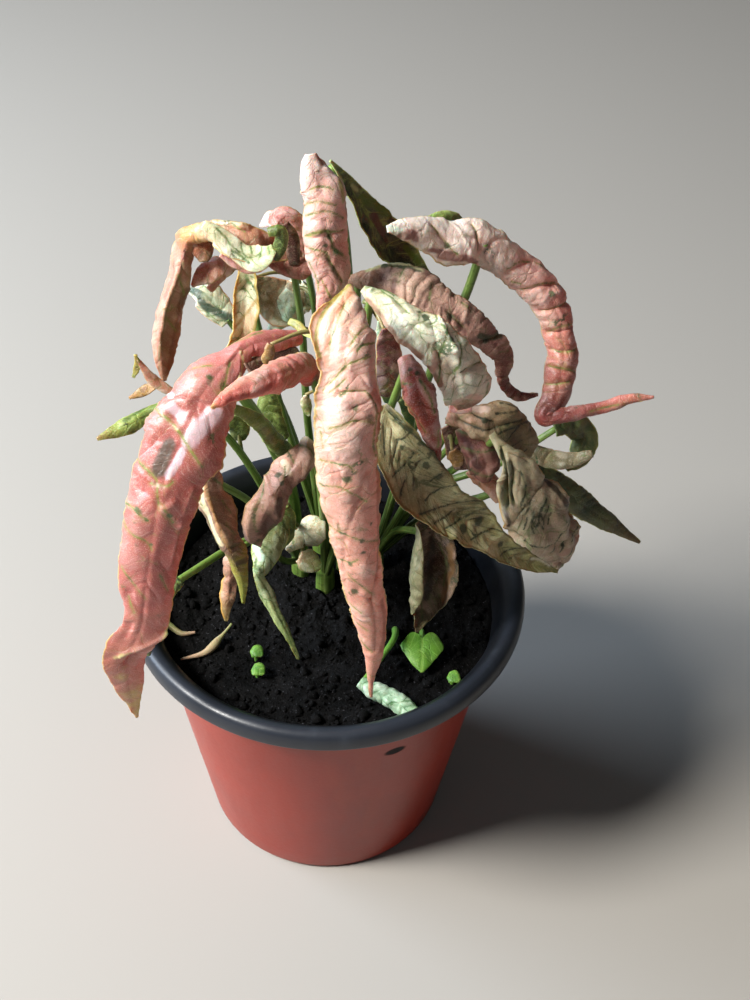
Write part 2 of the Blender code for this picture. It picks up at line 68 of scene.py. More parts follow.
# %% Smooth curves through a few values
def along(values, t):
    """The curve through the values, read at each t from 0 to 1."""
    values = np.array([np.atleast_1d(np.asarray(v, float)) for v in values])
    spans = len(values) - 1
    padded = np.vstack([2 * values[0] - values[1], values, 2 * values[-1] - values[-2]])
    at = np.clip(np.asarray(t, float), 0, 1) * spans
    k = np.minimum(at.astype(int), spans - 1)
    f = (at - k)[:, None]
    a, b, c, d = padded[k], padded[k + 1], padded[k + 2], padded[k + 3]
    rise, fall = (c - a) / 2, (d - b) / 2
    cubic = (2 * f**3 - 3 * f**2 + 1) * b + (f**3 - 2 * f**2 + f) * rise
    return cubic + (3 * f**2 - 2 * f**3) * c + (f**3 - f**2) * fall


def number(values, t):
    """The same for plain numbers; a single one holds all the way."""
    values = list(np.atleast_1d(values))
    values = values * 2 if len(values) == 1 else values
    return along(values, t)[:, 0]


def unit(v):
    return v / np.maximum(np.linalg.norm(v, axis=-1, keepdims=True), 1e-9)


def smooth(low, high, x):
    x = np.clip((x - low) / (high - low), 0, 1)
    return x * x * (3 - 2 * x)


print("a curve through 0, 1, 0 reads", number([0, 1, 0], [0.25]).round(3), "a quarter of the way")

# %% Smooth random hills
SHUFFLED = np.tile(np.random.default_rng(7).permutation(256), 3)
SLOPES = unit(np.random.default_rng(8).normal(size=(256, 3)))


def hills(x, y, z=0.0):
    """Smooth random heights, about -1 to 1, with one hill to each unit."""
    p = np.stack(np.broadcast_arrays(x, y, z), -1).astype(float)
    cell = np.floor(p).astype(int)
    f = p - cell
    ease = f * f * f * (f * (f * 6 - 15) + 10)
    total = 0.0
    for corner in np.ndindex(2, 2, 2):
        at = (cell + corner) & 255
        pick = SHUFFLED[SHUFFLED[SHUFFLED[at[..., 0]] + at[..., 1]] + at[..., 2]]
        reach = np.einsum("...k,...k->...", SLOPES[pick], f - corner)
        share = np.prod(np.where(np.array(corner) == 1, ease, 1 - ease), axis=-1)
        total = total + share * reach
    return 1.6 * total


def rugged(x, y, z=0.0, layers=3):
    """Hills on hills, each layer half as high and twice as fine."""
    return sum(hills(x * 2**k, y * 2**k, z + 9 * k) / 2**k for k in range(layers))


print("hills run from", hills(rng.uniform(0, 90, 2000), 0.3).min().round(2), "up")

# %% [markdown]
# ## Finishes from nodes
# A finish is a tree of shader nodes. Written out by hand such trees are long, so one small class wraps a
# socket and lets plain arithmetic add the Math nodes, and a second one holds a material and adds any other
# node in one call. Colours are mixed with Mix nodes, because a Math node would turn them grey.

# %% A socket that does sums
class Wire:
    """The output of a node, usable in + - * / ** with numbers and with other wires."""

    def __init__(self, finish, socket):
        self.finish = finish
        self.socket = socket

    def sum(self, operation, first, second=0.0):
        return self.finish.node("ShaderNodeMath", {"operation": operation}, {0: first, 1: second})

    def __add__(self, other):
        return self.sum("ADD", self, other)

    def __sub__(self, other):
        return self.sum("SUBTRACT", self, other)

    def __mul__(self, other):
        return self.sum("MULTIPLY", self, other)

    def __truediv__(self, other):
        return self.sum("DIVIDE", self, other)

    def __pow__(self, other):
        return self.sum("POWER", self, other)

    def __rsub__(self, other):
        return self.sum("SUBTRACT", other, self)

    __radd__ = __add__
    __rmul__ = __mul__

    def __abs__(self):
        return self.sum("ABSOLUTE", self)

    def most(self, other):
        return self.sum("MAXIMUM", self, other)

    def rise(self, low, high):
        """0 below low, 1 above high, and smooth between."""
        ends = {"From Min": low, "From Max": high, "To Min": 0.0, "To Max": 1.0}
        settings = {"interpolation_type": "SMOOTHSTEP"}
        return self.finish.node("ShaderNodeMapRange", settings, {"Value": self, **ends})

    def fall(self, low, high):
        return 1 - self.rise(low, high)


print("operations of a wire:", sum(map(callable, vars(Wire).values())))

# %% A material built call by call
def tint(code, alpha=1.0):
    """A colour written as on the web, in the linear values that shaders use."""
    parts = [int(code[k:k + 2], 16) / 255 for k in (0, 2, 4)]
    linear = [c / 12.92 if c <= 0.04045 else ((c + 0.055) / 1.055) ** 2.4 for c in parts]
    return (*linear, alpha)


class Finish:
    """One material: any node comes from node(), and the surface is set by wear()."""

    def __init__(self, name):
        self.material = bpy.data.materials.new(name)
        self.material.use_nodes = True
        self.tree = self.material.node_tree
        self.shader = self.tree.nodes["Principled BSDF"]

    def node(self, kind, settings=None, sockets=None, out=0):
        """Adds a node: its settings first, then its sockets, by name or by number."""
        made = self.tree.nodes.new(kind)
        for key, value in (settings or {}).items():
            if key == "stops":
                self.ramp(made.color_ramp, value)
            else:
                setattr(made, key, value)
        for key, value in (sockets or {}).items():
            self.plug(made.inputs[key], value)
        return Wire(self, made.outputs[out])

    def plug(self, socket, value):
        if isinstance(value, Wire):
            self.tree.links.new(value.socket, socket)
        elif isinstance(value, str):
            socket.default_value = tint(value)
        else:
            socket.default_value = value

    def ramp(self, ramp, stops):
        stops = list(stops.items())
        ends = (stops[0], stops[-1])
        for element, (at, code) in zip(ramp.elements, ends):
            element.position, element.color = at, tint(code)
        for at, code in stops[1:-1]:
            ramp.elements.new(at).color = tint(code)

    def mix(self, share, first, second):
        """From the first colour to the second by share."""
        sockets = {0: share, 6: first, 7: second}
        return self.node("ShaderNodeMix", {"data_type": "RGBA"}, sockets, out=2)

    def grain(self, place, scale, detail=2.0, rough=0.5):
        sockets = {"Vector": place, "Scale": scale, "Detail": detail, "Roughness": rough}
        return self.node("ShaderNodeTexNoise", {}, sockets)

    def warp(self, place, scale, amount):
        """The place, pushed about by noise."""
        noise = self.node("ShaderNodeTexNoise", {}, {"Vector": place, "Scale": scale}, "Color")
        return self.stretch(noise, (2 * amount,) * 3, self.stretch(
            place, (1.0, 1.0, 1.0), (-amount,) * 3))

    def stretch(self, place, factors, shift=(0.0, 0.0, 0.0)):
        sockets = {0: place, 1: factors, 2: shift}
        return self.node("ShaderNodeVectorMath", {"operation": "MULTIPLY_ADD"}, sockets)

    def read(self, name, out="Vector"):
        """A value stored on the points of the mesh."""
        return self.node("ShaderNodeAttribute", {"attribute_name": name}, {}, out)

    def split(self, vector):
        made = self.tree.nodes.new("ShaderNodeSeparateXYZ")
        self.plug(made.inputs[0], vector)
        return [Wire(self, socket) for socket in made.outputs]

    def join(self, x, y, z):
        return self.node("ShaderNodeCombineXYZ", {}, {0: x, 1: y, 2: z})

    def bumps(self, height, strength, distance):
        sockets = {"Height": height, "Strength": strength, "Distance": distance}
        return self.node("ShaderNodeBump", {}, sockets)

    def wear(self, **sockets):
        """Sets the surface: base_color=..., roughness=... and so on."""
        for key, value in sockets.items():
            words = [w.upper() if w == "ior" else w.capitalize() for w in key.split("_")]
            self.plug(self.shader.inputs[" ".join(words)], value)
        return self.material


print("a colour:", [round(c, 3) for c in tint("e3a097")])

# %% [markdown]
# ## The blade of a leaf
# A fresh arrowhead leaf is flat. A wilted one curls about its midrib, rolls its edges and puckers between
# its veins. So the blade starts as a strip along a curved midrib. Each half is bent away from the midrib by
# an angle that grows towards the edge. Then every point is lifted or sunk along the surface's own normal:
# pillows between the side veins, a groove at the midrib, crumples and fine pleats. A last step gives it
# two faces and a thin rim. The values that made the shape are stored on the points, so that the finish can
# draw its veins exactly in the grooves.

# %% The strip along the midrib
VIEWER = np.array((0.0, -0.73, 0.68))
CELL = 0.38


def midrib(path, turn, face, t):
    """Places along the midrib, and the directions across the blade and out of it."""
    centre = along(path, t)
    tangent = unit(along(path, t + 0.01) - along(path, t - 0.01))
    across = unit(np.cross(tangent, face))
    out = np.cross(across, tangent)
    a = np.radians(number(turn, t))[:, None]
    return centre, across * np.cos(a) + out * np.sin(a), out * np.cos(a) - across * np.sin(a)


def half_blade(width, fold, curl, roll, steps):
    """How far each point of one half lies out and back, from the midrib to the edge."""
    middle = (np.arange(steps) + 0.5) / steps
    bend = fold[:, None] + curl[:, None] * middle + roll[:, None] * smooth(0.6, 1.0, middle)
    bend = np.radians(bend)
    start = np.zeros((len(width), 1))
    out = np.hstack([start, np.cumsum(np.cos(bend), 1)]) * width[:, None] / steps
    back = np.hstack([start, -np.cumsum(np.sin(bend), 1)]) * width[:, None] / steps
    return out, back


def normals(grid):
    return unit(np.cross(np.gradient(grid, axis=1), np.gradient(grid, axis=0)))


print("a cell of a blade is", CELL, "mm wide")

# %% The veins and puckers of a blade
GROOVE, GROOVE_WIDTH = 0.2, 0.7


def relief(x, y, t, width, seed, veins, rib, slant, swell, quilt, crumple, size, wrinkle):
    """The height of the surface over the smooth strip, and where the side veins run."""
    from_rib = x - number(rib, t)[:, None] * width[:, None]
    reach = abs(from_rib)
    wander = hills(x * 0.09, y * 0.09, seed) + 0.35 * hills(x * 0.3, y * 0.3, seed + 2)
    vein = (y - number(slant, t)[:, None] * reach) / veins + 0.4 * wander
    height = swell * hills(x / 9, y / 11, seed + 4)
    height = height - swell * 0.9 * smooth(0.3, 0.8, hills(x / 4.5, y / 5.5, seed + 9))
    patch = smooth(-0.2, 0.5, hills(x * 0.1, y * 0.1, seed + 31))
    height = height + quilt * (abs(np.sin(np.pi * vein)) ** 0.6 - 0.65) * patch
    height = height + crumple * rugged(x / size, y / size, seed + 5)
    crease = 1 - abs(hills(vein * 0.9 + 0.3 * x / size, reach / 12, seed + 11))
    height = height - crumple * 1.3 * crease**14 * smooth(-0.1, 0.3, hills(x / 12, y / 12, seed))
    height = height + wrinkle * rugged(vein * veins * 0.6, reach * 0.14, seed + 17, 2)
    return height - GROOVE * np.exp(-((from_rib / GROOVE_WIDTH) ** 2)), vein, from_rib


print("the groove over the midrib is", GROOVE, "mm deep")

# %% Flat faces of a blade that dried
def facets(x, y, size, seed):
    """Flat faces that meet in sharp edges: two sets of overlapping bowls, one less the other."""
    draw = np.random.default_rng(int(seed * 10))
    low, high = np.array([x.min(), y.min()]) - size, np.array([x.max(), y.max()]) + size
    count = int(np.prod(high - low) / size**2) + 3
    sheets = []
    for _ in range(2):
        bowls = draw.uniform(low, high, (count, 2))
        sheets.append(np.maximum.reduce([-((x - a) ** 2 + (y - b) ** 2) for a, b in bowls]))
    return (sheets[0] - sheets[1]) / (2 * size)


line = np.linspace(0, 20, 41)
print("facets of 6 mm are", np.ptp(facets(line, line, 6.0, 1.0)).round(1), "mm high")

# %% [markdown]
# Some marks of a leaf can't be left to chance: the deep dent in the arching leaf, a crease where a blade
# buckled, the long dark veins. They are given with each leaf, by their places in the photo, and the camera
# says which point of the blade shows there. So a mark lies on its blade from any side.

# %% The camera, and what it sees of a blade
EYE = np.array([13.5, -292.0, 404.0])
BEHIND = 15.0
PHOTO, FOCUS = np.array([750, 1000]), 1400.0
PITCH, ROLL = math.radians(43.18), math.radians(2.09)
AHEAD = np.array([0, math.cos(PITCH), -math.sin(PITCH)])
LEVEL = np.array([1.0, 0, 0])
UPRIGHT = np.cross(LEVEL, AHEAD)
RIGHT = LEVEL * math.cos(ROLL) + UPRIGHT * math.sin(ROLL)
ABOVE = UPRIGHT * math.cos(ROLL) - LEVEL * math.sin(ROLL)


def finder(grid, x, y):
    """A function from a place in the photo to millimetres across and along the blade there."""
    way = grid - EYE
    seen = np.stack([way @ RIGHT, -(way @ ABOVE)], -1) * FOCUS / (way @ AHEAD)[..., None] + PHOTO / 2
    hidden = (normals(grid) * way).sum(-1) > 0

    def find(place):
        off = np.hypot(*(seen - place).transpose(2, 0, 1)) + BEHIND * hidden
        i, j = np.unravel_index(np.argmin(off), off.shape)
        return np.array([x[i, j], y[i, j]])
    return find


print("the camera is", round(float(np.linalg.norm(EYE))), "mm from the middle of the base")

# %% Marks at given places
FAR_OFF = 9.0


def to_line(x, y, a, b):
    """How far each point is from the straight piece between a and b."""
    way = b - a
    share = np.clip(((x - a[0]) * way[0] + (y - a[1]) * way[1]) / max(way @ way, 1e-9), 0, 1)
    return np.hypot(x - a[0] - share * way[0], y - a[1] - share * way[1])


def to_curve(x, y, find, places):
    """How far each point is from the smooth curve through some places of the photo."""
    points = along([find(p) for p in zip(places[::2], places[1::2])], np.linspace(0, 1, 9))
    return np.minimum.reduce([to_line(x, y, a, b) for a, b in zip(points, points[1:])])


def marked(x, y, find, strokes=(), spots=(), dents=(), folds=(), stripes=()):
    """The added height of dents and folds, and the distances to veins, spots and stripes."""
    added, ink, blot = 0 * x, 0 * x + FAR_OFF, 0 * x + FAR_OFF
    tape = np.full(x.shape + (3,), FAR_OFF)
    for *place, long, broad, deep in dents:
        a, b = find(place)
        added = added - deep * np.exp(-(((x - a) / broad) ** 2) - ((y - b) / long) ** 2)
    for *places, broad, high in folds:
        added = added + high * np.exp(-to_line(x, y, find(places[:2]), find(places[2:])) / broad)
    for stroke in strokes:
        ink = np.minimum(ink, to_curve(x, y, find, stroke))
    for *place, radius in spots:
        a, b = find(place)
        blot = np.minimum(blot, np.hypot(x - a, y - b) - radius)
    for which, half, *places in stripes:
        off = (to_curve(x, y, find, places) - half) / max(half, 1.0)
        tape[..., which] = np.minimum(tape[..., which], off)
    return added, ink, blot, tape


print("a point with no mark near it reads", FAR_OFF, "mm")

# %% Two faces and a rim
def closed(rows, cols):
    """The faces of two grids of points and of the rim between them."""
    m = rows * cols
    a = (np.arange(rows - 1)[:, None] * cols + np.arange(cols - 1)).reshape(-1)
    upper = np.stack([a, a + 1, a + cols + 1, a + cols], 1)
    lower = upper[:, ::-1] + m
    j, i = np.arange(cols - 1), np.arange(rows - 1)
    last = (rows - 1) * cols
    starts = np.concatenate([j, i * cols + cols - 1, last + j + 1, (i + 1) * cols])
    ends = np.concatenate([j + 1, (i + 1) * cols + cols - 1, last + j, i * cols])
    rim = np.stack([ends, starts, starts + m, ends + m], 1)
    return np.concatenate([upper, lower, rim])


def two_faced(name, top, bottom, store):
    """A closed mesh from two grids of points, with values stored on the points of both."""
    m = top.shape[0] * top.shape[1]
    points = np.concatenate([top.reshape(-1, 3), bottom.reshape(-1, 3)]) * MM
    mesh = bpy.data.meshes.new(name)
    mesh.from_pydata(points.tolist(), [], closed(*top.shape[:2]).tolist())
    mesh.shade_smooth()
    for key, values in store.items():
        flat = values.reshape(-1)
        mesh.attributes.new(key, "FLOAT_VECTOR", "POINT")
        mesh.attributes[key].data.foreach_set("vector", np.concatenate([flat, flat]))
    mesh.attributes.new("side", "FLOAT", "POINT")
    mesh.attributes["side"].data.foreach_set("value", np.repeat([1.0, 0.0], m))
    return mesh


print("a blade of 3 by 3 points has", len(closed(3, 3)), "faces")

# %% Placing a piece on its solid
PIECES = {}


def place(name, mesh, material, nodes, slot):
    """Makes an object of the mesh, has it stand for the nodes, which are hidden, and attaches it to the root
    body.
    """
    thing = bpy.data.objects.new(name, mesh)
    bpy.context.scene.collection.objects.link(thing)
    mesh.materials.clear()
    for one in material if isinstance(material, list) else [material]:
        mesh.materials.append(one)
    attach(thing, "root")
    if nodes:
        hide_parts(*nodes)
    PIECES[name] = thing
    return thing


print("pieces so far:", len(PIECES))

# %% A whole leaf
JOINTS = {}
THICKNESS, JOINT_DEPTH = 0.5, 0.9
LEAST_HALF, CALM_HALF = 0.45, 3.5


def leaf(name, slot, path, width, curl, stops=None, bands=(), look=None, finish=None,
         turn=(0,), fold=(0,), roll=((0,), (0,)), sides=((1,), (1,)), lean=None, wave=0.0, waves=3,
         face=VIEWER, veins=6.0, rib=(0,), slant=(0.8,), swell=0.5, quilt=0.15, crumple=0.35,
         size=6.0, wrinkle=0.1, frill=0.6, facet=0.0, facet_size=6.0, lobe=0.0, joint=0.05, **marks):
    """A blade: bent strip, relief, two faces, stored values and finish.

    The first five say its shape, the next four its colours. curl may be a pair of lists, for the
    right and the left half. lean is the share of the right half where the left has the rest.
    What is left over are the marks.
    """
    seed = 13.7 * (len(JOINTS) + 1)
    path = [np.array(p, float) for p in path]
    length = np.linalg.norm(np.diff(along(path, np.linspace(0, 1, 60)), axis=0), axis=1).sum()
    rows = max(int(length / CELL), 12)
    t = np.linspace(0, 1, rows + 1)
    w = np.maximum(number(width, t), LEAST_HALF)
    steps = max(int(w.max() / CELL), 5)
    s = np.arange(steps + 1) / steps
    centre, side, up = midrib(path, turn, face, t)
    ahead_of = np.cross(up, side)
    y = np.concatenate([[0], np.cumsum(np.linalg.norm(np.diff(centre, axis=0), axis=1))])
    curl = curl if isinstance(curl, tuple) else (curl, curl)
    sides = (lean, [2 - share for share in lean]) if lean else sides
    halves = []
    for hand, share, rolled, bent in zip((1, -1), sides, roll, curl):
        nibble = 1 + 0.07 * hills(y * 0.22, seed + hand) + 0.035 * hills(y * 0.9, seed + 3 * hand)
        wide = w * number(share, t) * nibble
        out, back = half_blade(wide, number(fold, t), number(bent, t), number(rolled, t), steps)
        ripple = wave * wide[:, None] * s**2 * np.sin(waves * math.tau * t[:, None] + hand)
        flutter = frill * s**3 * hills(y[:, None] * 0.35, s * 0.6, seed + hand)
        spot = side[:, None] * (out * hand)[..., None]
        spot = spot + up[:, None] * (back + ripple + flutter)[..., None]
        reach = lobe * smooth(0.5, 0.0, t)[:, None] * np.sin(np.pi * s) ** 0.8
        spot = centre[:, None] + spot - ahead_of[:, None] * reach[..., None]
        halves.append((spot, s * wide[:, None] * hand))
    grid, x = (np.concatenate([left[:, :0:-1], right], 1) for right, left in zip(*halves))
    y = y[:, None] + 0 * x
    height, vein, from_rib = relief(x, y, t, w, seed, veins, rib, slant, swell, quilt, crumple,
                                    size, wrinkle)
    height = height + facet * facets(x, y, facet_size, seed)
    added, ink, blot, tape = marked(x, y, finder(grid, x, y), **marks)
    height = (height + added) * np.minimum(w / CALM_HALF, 1)[:, None]
    height = height - 0.08 * np.exp(-((ink / 0.4) ** 2))
    grid = grid + normals(grid) * height[..., None]
    share = abs(x) / np.maximum(abs(x).max(1, keepdims=True), 1e-6)
    shell = normals(grid) * (THICKNESS / 2 * (1 - 0.55 * share**4))[..., None]
    low, high = np.percentile(height, (2, 98))
    level = np.clip((height - low) / max(high - low, 1e-6), 0, 1)
    store = {
        "span": np.stack([x, y, x * 0 + seed], -1),
        "share": np.stack([share * np.sign(x), t[:, None] + 0 * x, level], -1),
        "vein": np.stack([vein * veins, from_rib, vein], -1),
        "mark": np.stack([ink, blot, x * 0], -1),
        "tape": tape,
    }
    mesh = two_faced(name + "_blade", grid + shell, grid - shell, store)
    outward = midrib(path, turn, face, np.array([joint]))[2][0]
    foot = along(path, [joint])[0] - outward * JOINT_DEPTH
    JOINTS[name] = foot
    print(f"{name}: {length:.0f} mm long, {2 * w.max():.0f} mm wide")
    if finish is None:
        looks = {**KINDS[slot], "veins": veins, "bands": bands, **(look or {})}
        finish = leaf_finish(name, stops, **looks)
    nodes = [] if name.startswith("bit_") else [name]
    return place(name + "_blade", mesh, finish, nodes, slot)


print("a blade is", THICKNESS, "mm thick")

# %% [markdown]
# ## What a wilted leaf looks like
# The pink cultivar is rose with pale, almost white patches, thin green veins, dark green flecks along them
# and a yellow-green edge. Where it dries it turns tan and brown. One recipe covers all of that: a colour
# ramp along the blade, pale patches, painted shade in the hollows and a painted highlight on the ridges,
# veins from the stored values, a net of finest veins, flecks, an edge line, and soft stripes placed where
# the real leaf has a mark. Some stripes are painted shade and some a painted highlight, on folds.

# %% The finish of a leaf
def leaf_finish(name, stops, pale, deep, vein_colour, fleck, under, edge, gloss, veins, glow=0.12,
                pale_share=0.5, vein_show=0.8, flecks=0.3, net=0.3, edge_width=0.07,
                under_share=0.75, rib_colour=None, ink_colour=None, bands=(), coat=0.0,
                skin=0.6, painted_hollow_shade=0.5, lift=0.35):
    """Colours are the web's. stops are along the blade, bands colour its stripes."""
    f = Finish(name)
    span = f.read("span")
    across, down, level = f.split(f.read("share"))
    run, from_rib, vein = f.split(f.read("vein"))
    top = f.read("side", "Fac")
    soft = f.grain(span, 0.13, 2.0, 0.5)
    middle = f.grain(span, 0.4, 3.0, 0.55)
    fine = f.grain(span, 1.3, 3.0, 0.6)
    finest = f.grain(span, 3.4, 2.0, 0.6)
    colour = f.node("ShaderNodeValToRGB", {"stops": stops}, {0: down + (soft - 0.5) * 0.3})
    folds = f.join(run * 0.9, from_rib * 0.16, vein * 0)
    streak = f.grain(folds, 1.0, 4.0, 0.65)
    # Pale patches follow random tone and partly the height of the relief; where they follow height they are
    # a painted highlight on the ridges.
    patches = (soft * 0.45 + middle * 0.3 + streak * 0.3 + level * 0.25).rise(
        0.82 - pale_share * 0.3, 1.08 - pale_share * 0.3)
    colour = f.mix(patches * 0.7, colour, pale)
    # Painted shade in the hollows of the relief, towards deep, and a painted highlight on its ridges, set by
    # lift.
    colour = f.mix(level.fall(0.0, 0.5) * painted_hollow_shade, colour, deep)
    colour = f.mix(level.rise(0.55, 0.95) * lift, colour, pale)
    colour = f.mix(streak.rise(0.5, 0.75) * 0.25, colour, pale)
    colour = f.mix(streak.fall(0.28, 0.48) * 0.25, colour, deep)
    colour = f.mix(finest.rise(0.5, 0.72) * 0.3, colour, pale)
    colour = f.mix(finest.fall(0.3, 0.48) * 0.3, colour, deep)
    ways = f.warp(f.join(run / veins, from_rib / (veins * 1.5), vein * 0), 0.8, 0.3)
    ways = f.warp(ways, 4.0, 0.06)
    line, near = net_of_veins(f, ways, 0.016, 0.045, fine)
    showing = f.grain(span, 0.2, 2.0).rise(0.58 - 0.22 * vein_show, 0.68 - 0.22 * vein_show)
    colour = f.mix(near * showing * 0.25 * vein_show, colour, vein_colour)
    colour = f.mix(line * (0.2 + showing * 0.8) * vein_show, colour, vein_colour)
    thin, _ = net_of_veins(f, f.warp(span, 0.9, 0.6), 0.02, 0.07, fine, 0.5)
    colour = f.mix(thin * net * (0.35 + 0.65 * middle.rise(0.45, 0.6)), colour, vein_colour)
    colour = f.mix(flecked(f, span, near, fine, flecks) * 0.85, colour, fleck)
    if rib_colour:
        colour = f.mix(abs(from_rib).fall(0.25, 0.6) * 0.8, colour, rib_colour)
    rim = (abs(across) + (fine - 0.5) * 0.06).rise(1 - edge_width * 1.6, 1 - edge_width * 0.7)
    colour = f.mix(rim * 0.8, colour, edge)
    wobble = (fine - 0.5) * 0.5 + (middle - 0.5) * 0.6
    below = f.mix(streak.rise(0.45, 0.7) * 0.35, under, pale)
    below = f.mix(middle.fall(0.35, 0.55) * 0.45, below, deep)
    below = f.mix(line.most(thin * 0.6) * 0.7, below, vein_colour)
    colour = f.mix((1 - top) * under_share, colour, below)
    # Stripes at given places: most are the leaf's own marks, some are painted shade and some a painted
    # highlight on folds.
    stripes = f.split(f.read("tape"))
    for stripe, (code, strength) in zip(stripes, bands):
        colour = f.mix((stripe + wobble * 1.2).fall(-0.3, 0.5) * strength, colour, code)
    ink, blot, _ = f.split(f.read("mark"))
    drawn = (ink + (fine - 0.5) * 0.8).fall(0.1, 0.42) * (0.5 + 0.5 * middle.rise(0.38, 0.52))
    colour = f.mix(ink.fall(0.2, 1.3) * 0.22, colour, vein_colour)
    written = f.mix(middle.rise(0.54, 0.6) * 0.65, ink_colour or vein_colour, fleck)
    colour = f.mix(drawn * 0.9, colour, written)
    colour = f.mix((blot + wobble * 2.4).fall(-0.35, 0.35) * 0.85, colour, fleck)
    ridges = streak * 0.6 + fine * 0.3 + middle * 0.4 - line * 0.5 - thin * 0.2 + finest * 0.15
    return f.wear(base_color=colour, roughness=gloss + (fine - 0.5) * 0.3 + patches * 0.05,
                  normal=f.bumps(ridges, skin, 0.0005), subsurface_weight=glow,
                  subsurface_scale=0.002, subsurface_radius=(1.0, 0.45, 0.3),
                  coat_weight=coat, coat_roughness=0.42, specular_ior_level=0.5)


def net_of_veins(f, where, thin, thick, fine, scale=1.0):
    """The borders between the cells of a Voronoi pattern: a wavering line, and its nearness."""
    settings = {"feature": "DISTANCE_TO_EDGE"}
    border = f.node("ShaderNodeTexVoronoi", settings, {"Vector": where, "Scale": scale})
    width = thin + (fine - 0.35) * (thick - thin) * 3.0
    return (border / width.most(0.008)).fall(0.5, 1.1), border.fall(0.04, 0.2)


def flecked(f, span, near, fine, share):
    """Where the dark green dots are, in clusters, and the blots where veins meet."""
    cells = {"Vector": f.warp(span, 0.5, 1.0), "Scale": 0.9}
    dots = f.node("ShaderNodeTexVoronoi", {}, cells)
    chance = f.split(f.node("ShaderNodeTexVoronoi", {}, cells, "Color"))[0]
    where = f.grain(span, 0.15, 2.0).rise(0.66 - share * 0.3, 0.74 - share * 0.25)
    spots = dots.fall(0.2, 0.42) * chance.rise(0.5, 0.6) * where
    blots = (fine * 0.7 + near * 0.35).rise(0.62, 0.7) * near * where
    return spots.most(blots)


print("the leaf finish is ready")

# %% [markdown]
# ## The front of the plant
# The first numbers of each leaf are those that its solid was made from: the places of the midrib, the
# half-widths and the bends. Added to them are the colours along the blade, the spacing of the veins, how
# strongly the blade puckers, and its look. A leaf that faces the window is glossy. The ridges of a blade get
# a painted highlight and its hollows painted shade. Leaves that dried are duller, so their roughness is
# higher.
#
# Last come its marks, with every place in pixels of the photo, x and y in turn. Strokes are veins. Spots
# are dark green and have a radius. Dents have two sizes and a depth, and folds have two ends, a width and
# a height. Stripes have the number of their colour and a half-width before their places. Sizes are in
# millimetres. Marks could be painted on a picture, but a picture would show its pixels close up.

# %% Colours shared by leaves of one kind
# deep is the darker tone of each kind; the hollows of the relief are also darkened towards it, as painted
# shade.
KINDS = dict(
    leaf_pink=dict(pale="f6dcd4", deep="ab5a58", vein_colour="838a45", fleck="3f5c34",
                   under="b7655c", edge="c0a062", gloss=0.4, glow=0.5),
    leaf_cream=dict(pale="f4f1de", deep="a5936a", vein_colour="6d8748", fleck="41603a",
                    under="b5b184", edge="dba680", gloss=0.45, glow=0.4),
    leaf_green=dict(pale="a3b46c", deep="1d2c1a", vein_colour="93ab58", fleck="1b2b19",
                    under="7c8e58", edge="a9b45c", gloss=0.42, glow=0.3),
    leaf_brown=dict(pale="dcb9a4", deep="5c342f", vein_colour="646b3c", fleck="36412c",
                    under="7c5a48", edge="8d6c40", gloss=0.55, glow=0.25),
    seedling_green=dict(pale="8eb452", deep="34601c", vein_colour="8ab850", fleck="346428",
                        under="64943c", edge="78aa40", gloss=0.38),
)
KINDS["leaf_mint"] = dict(KINDS["seedling_green"], pale="deecda", deep="6a9c70", edge="a0c860",
                          vein_colour="4c7c48")
print("kinds of leaf:", list(KINDS))

